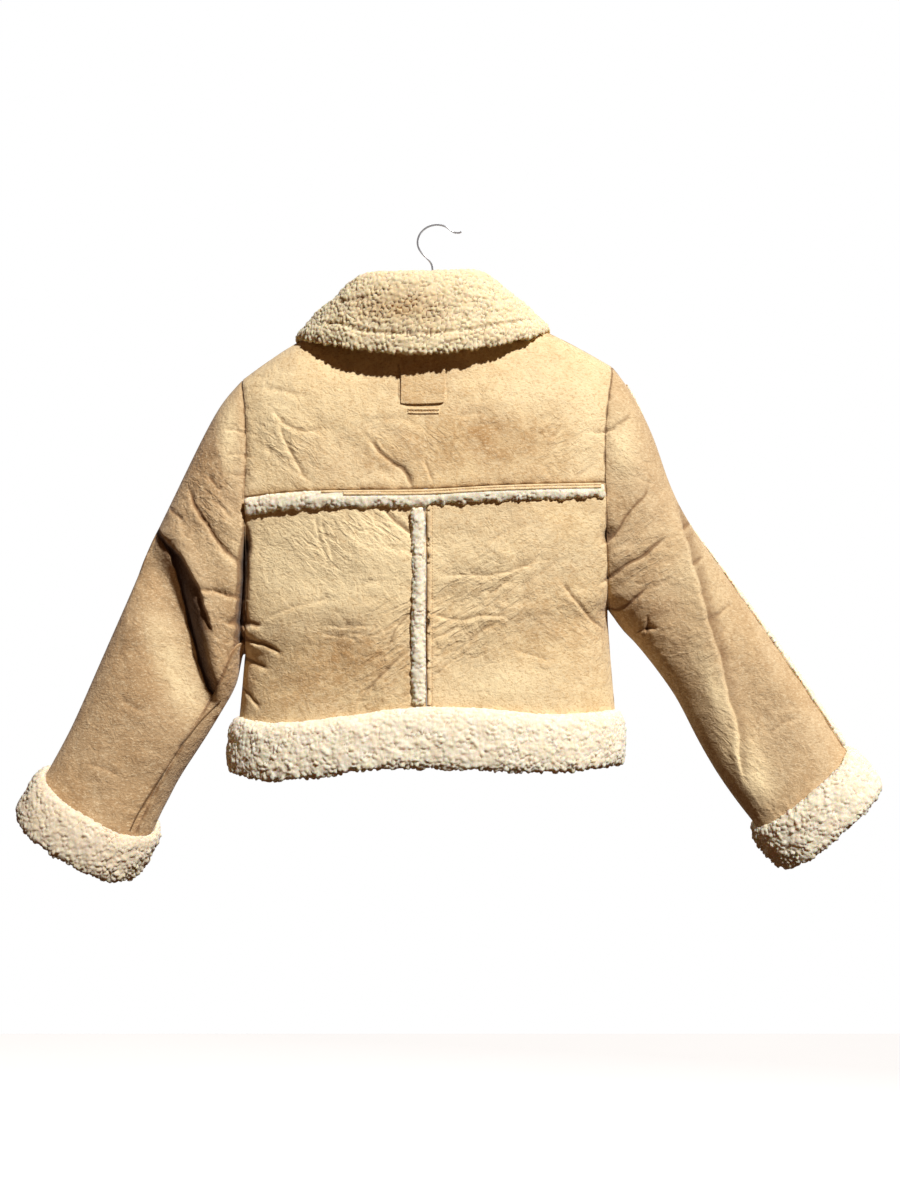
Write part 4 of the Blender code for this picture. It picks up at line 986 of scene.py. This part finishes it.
def stitchRow(name, line, rise, look, *under):   # one stitch, repeated along the seam
    s = sewnSet
    path = sewnPath(name + "Path", line, rise, *under)
    bpy.ops.mesh.primitive_uv_sphere_add(segments=8, ring_count=6, radius=s["thread"])
    ob = bpy.context.object
    ob.name = name
    bpy.ops.object.mode_set(mode="EDIT")
    bpy.ops.transform.resize(value=(s["stitch"] / s["thread"] / 2, 1, 1))
    bpy.ops.object.mode_set(mode="OBJECT")
    withModifier(ob, "ARRAY", fit_type="FIT_CURVE", curve=path, use_relative_offset=False,
                 use_constant_offset=True, constant_offset_displace=(s["pitch"], 0, 0))
    withModifier(ob, "CURVE", object=path, deform_axis="POS_X")
    bpy.data.objects.remove(path)
    return dress(ob, "suede", look)


print("turned edges and stitching")
threadLook = Look("tanThread", Roughness=0.6, Sheen_Weight=0.3)
twisted = threadLook.noise(sewnSet["twistPerMetre"], 2.0)
straw = threadLook.mix(twisted, sewnSet["straw"], sewnSet["strawShade"])
thread = threadLook.wear(straw, twisted, sewnSet["twistDepth"])

pale = sewnSet["pale"]
weltLine = [(x / mm, z / mm) for x, z in stripTop.T if -140 * mm < x < 200 * mm]
for name, below, start in (("yokeWeltHigh", 1.4, -136), ("yokeWeltLow", 4.8, -116)):
    line = [(x, z - below) for x, z in weltLine if x > start]
    roll(name, line, sewnSet["weltWidth"], 0.4, pale, weltHighlight, yoke, yokeEdge)
stitchRow("yokeStitches", [(x, z - 3.1) for x, z in weltLine if x > -124], 0.9, thread, yoke, yokeEdge)

seamLine = [(-7.5, -338), (-7.5, -420), (-7.5, -500), (-7.5, -572)]
roll("seamWelt", seamLine, sewnSet["seamWidth"], 0.4, pale, weltHighlight, backLeft, backRight)
stitchRow("seamStitches", [(x + 4.4, z) for x, z in seamLine], 0.2, thread, backRight)

for name, z in (("patchRowHigh", -225.0), ("patchRowLow", -229.2)):
    roll(name, [(-32, z), (-14, z - 0.3), (4, z)], sewnSet["rowWidth"], 0.5, pale, weltHighlight, yoke)
# painted shade: the left underarm seam is drawn as a near-black line
armSeam = [(-257, -569), (-270, -582), (-283, -595), (-314, -638), (-343, -682), (-357, -706), (-365, -724)]
roll("armSeamLeft", armSeam, sewnSet["armSeamWidth"], 0.3, 0.0, seamShadowLook, leftArmBack, leftArmFront)
stitchRow("patchStitches", [(-32, -227.1), (-14, -227.4), (4, -227.1)], 0.3, thread, yoke)


# hanger

print("hanger")
hookSet = {"steel": (0.62, 0.62, 0.64, 1), "dull": (0.36, 0.36, 0.38, 1)}
barSet = {"plastic": tone(214, 214, 212), "scuffed": tone(190, 189, 186)}

hook = copyOf("hanger_hook", "wireHook")
withModifier(hook, "SUBSURF", levels=2, render_levels=2)
chrome = Look("chromeWire", Metallic=1.0, Roughness=0.16)
drawn = chrome.noise(180.0, 2.0)
chromeColour = chrome.mix(drawn, hookSet["steel"], hookSet["dull"])
chromeLook = chrome.wear(chromeColour, drawn, 0.05 * mm, 0.3, drawn * 0.1 + 0.12)
dress(hook, "hanger_hook", chromeLook, "hanger_hook")

plastic = Look("barPlastic", Specular_IOR_Level=0.4)
scuff = plastic.noise(90.0, 4.0, 0.6)
barColour = plastic.mix(scuff.between(0.45, 0.7), barSet["plastic"], barSet["scuffed"])
barLook = plastic.wear(barColour, plastic.noise(900.0, 2.0), 0.1 * mm, 0.4, scuff * 0.15 + 0.4)
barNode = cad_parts["hanger_bar"]
for materialSlot in barNode.material_slots:
    materialSlot.material = barLook


# floor, light and camera

print("studio")
studioSet = {
    "floorDrop": 1.75,                  # the hook hangs this far above the floor
    "floorSize": 9.0,
    "sunFrom": (0.44, -0.70, 0.77),
    "sunStrength": 4.75,
    "sunWidth": math.radians(2.5),
    "fill": 0.075,
    "shine": 0.4,                       # what glossy things see of the white room
    "fillTint": (1.0, 0.48, 0.22, 1),
    "frontLight": 60.0,
    "frontLightPlace": (0.8, 2.6, 1.0),
    "frontLightAim": (0, 0, -0.4),
    "frontLightSize": 2.4,
}

bpy.ops.mesh.primitive_grid_add(x_subdivisions=8, y_subdivisions=8, size=studioSet["floorSize"],
                                location=(0, 0, -studioSet["floorDrop"]))
floor = bpy.context.object
floor.name = "paleFloor"
paint = Look("palePaint", Roughness=0.85)
cloudy = paint.noise(1.5, 3.0)
floor.data.materials.append(paint.wear(paint.mix(cloudy, tone(247, 247, 246), tone(243, 243, 242))))
floor.visible_diffuse = False          # it throws no light up at the coat

sunTurn = Vector(studioSet["sunFrom"]).to_track_quat("Z", "Y").to_euler()
bpy.ops.object.light_add(type="SUN", rotation=sunTurn)
sun = bpy.context.object
sun.name = "keySun"
sun.data.energy, sun.data.angle = studioSet["sunStrength"], studioSet["sunWidth"]

lightPlace = studioSet["frontLightPlace"]
bpy.ops.object.light_add(type="AREA", location=lightPlace)
softbox = bpy.context.object
softbox.name = "frontSoftbox"
softbox.data.shape, softbox.data.size = "SQUARE", studioSet["frontLightSize"]
softbox.data.energy = studioSet["frontLight"]
aim = Vector(lightPlace) - Vector(studioSet["frontLightAim"])
softbox.rotation_euler = aim.to_track_quat("Z", "Y").to_euler()

world = bpy.data.worlds.new("studioAir")
bpy.context.scene.world = world
world.use_nodes = True
air = world.node_tree
sky = air.nodes["Background"]
sky.inputs["Color"].default_value = studioSet["fillTint"]
sky.inputs["Strength"].default_value = studioSet["fill"]
white = air.nodes.new("ShaderNodeBackground")
white.inputs["Color"].default_value, white.inputs["Strength"].default_value = (1, 1, 1, 1), 1.0
seen = air.nodes.new("ShaderNodeLightPath")
both = air.nodes.new("ShaderNodeMixShader")
glossy = air.nodes.new("ShaderNodeMath")
glossy.operation, glossy.use_clamp = "MULTIPLY_ADD", True
air.links.new(seen.outputs["Is Glossy Ray"], glossy.inputs[0])
glossy.inputs[1].default_value = studioSet["shine"]
air.links.new(seen.outputs["Is Camera Ray"], glossy.inputs[2])
air.links.new(glossy.outputs[0], both.inputs[0])
air.links.new(sky.outputs[0], both.inputs[1])
air.links.new(white.outputs[0], both.inputs[2])
air.links.new(both.outputs[0], air.nodes["World Output"].inputs["Surface"])

cameraSet = {"place": (0.017, -3.0, -0.449), "lens": 75.0, "filmHeight": 36.0}
bpy.ops.object.camera_add(location=cameraSet["place"], rotation=(math.radians(90), 0, 0))
camera = bpy.context.object
camera.name = "photoCamera"
camera.data.sensor_fit, camera.data.sensor_height = "VERTICAL", cameraSet["filmHeight"]
camera.data.lens = cameraSet["lens"]
bpy.context.scene.camera = camera
bpy.context.scene.view_settings.view_transform = "Standard"

print("done")
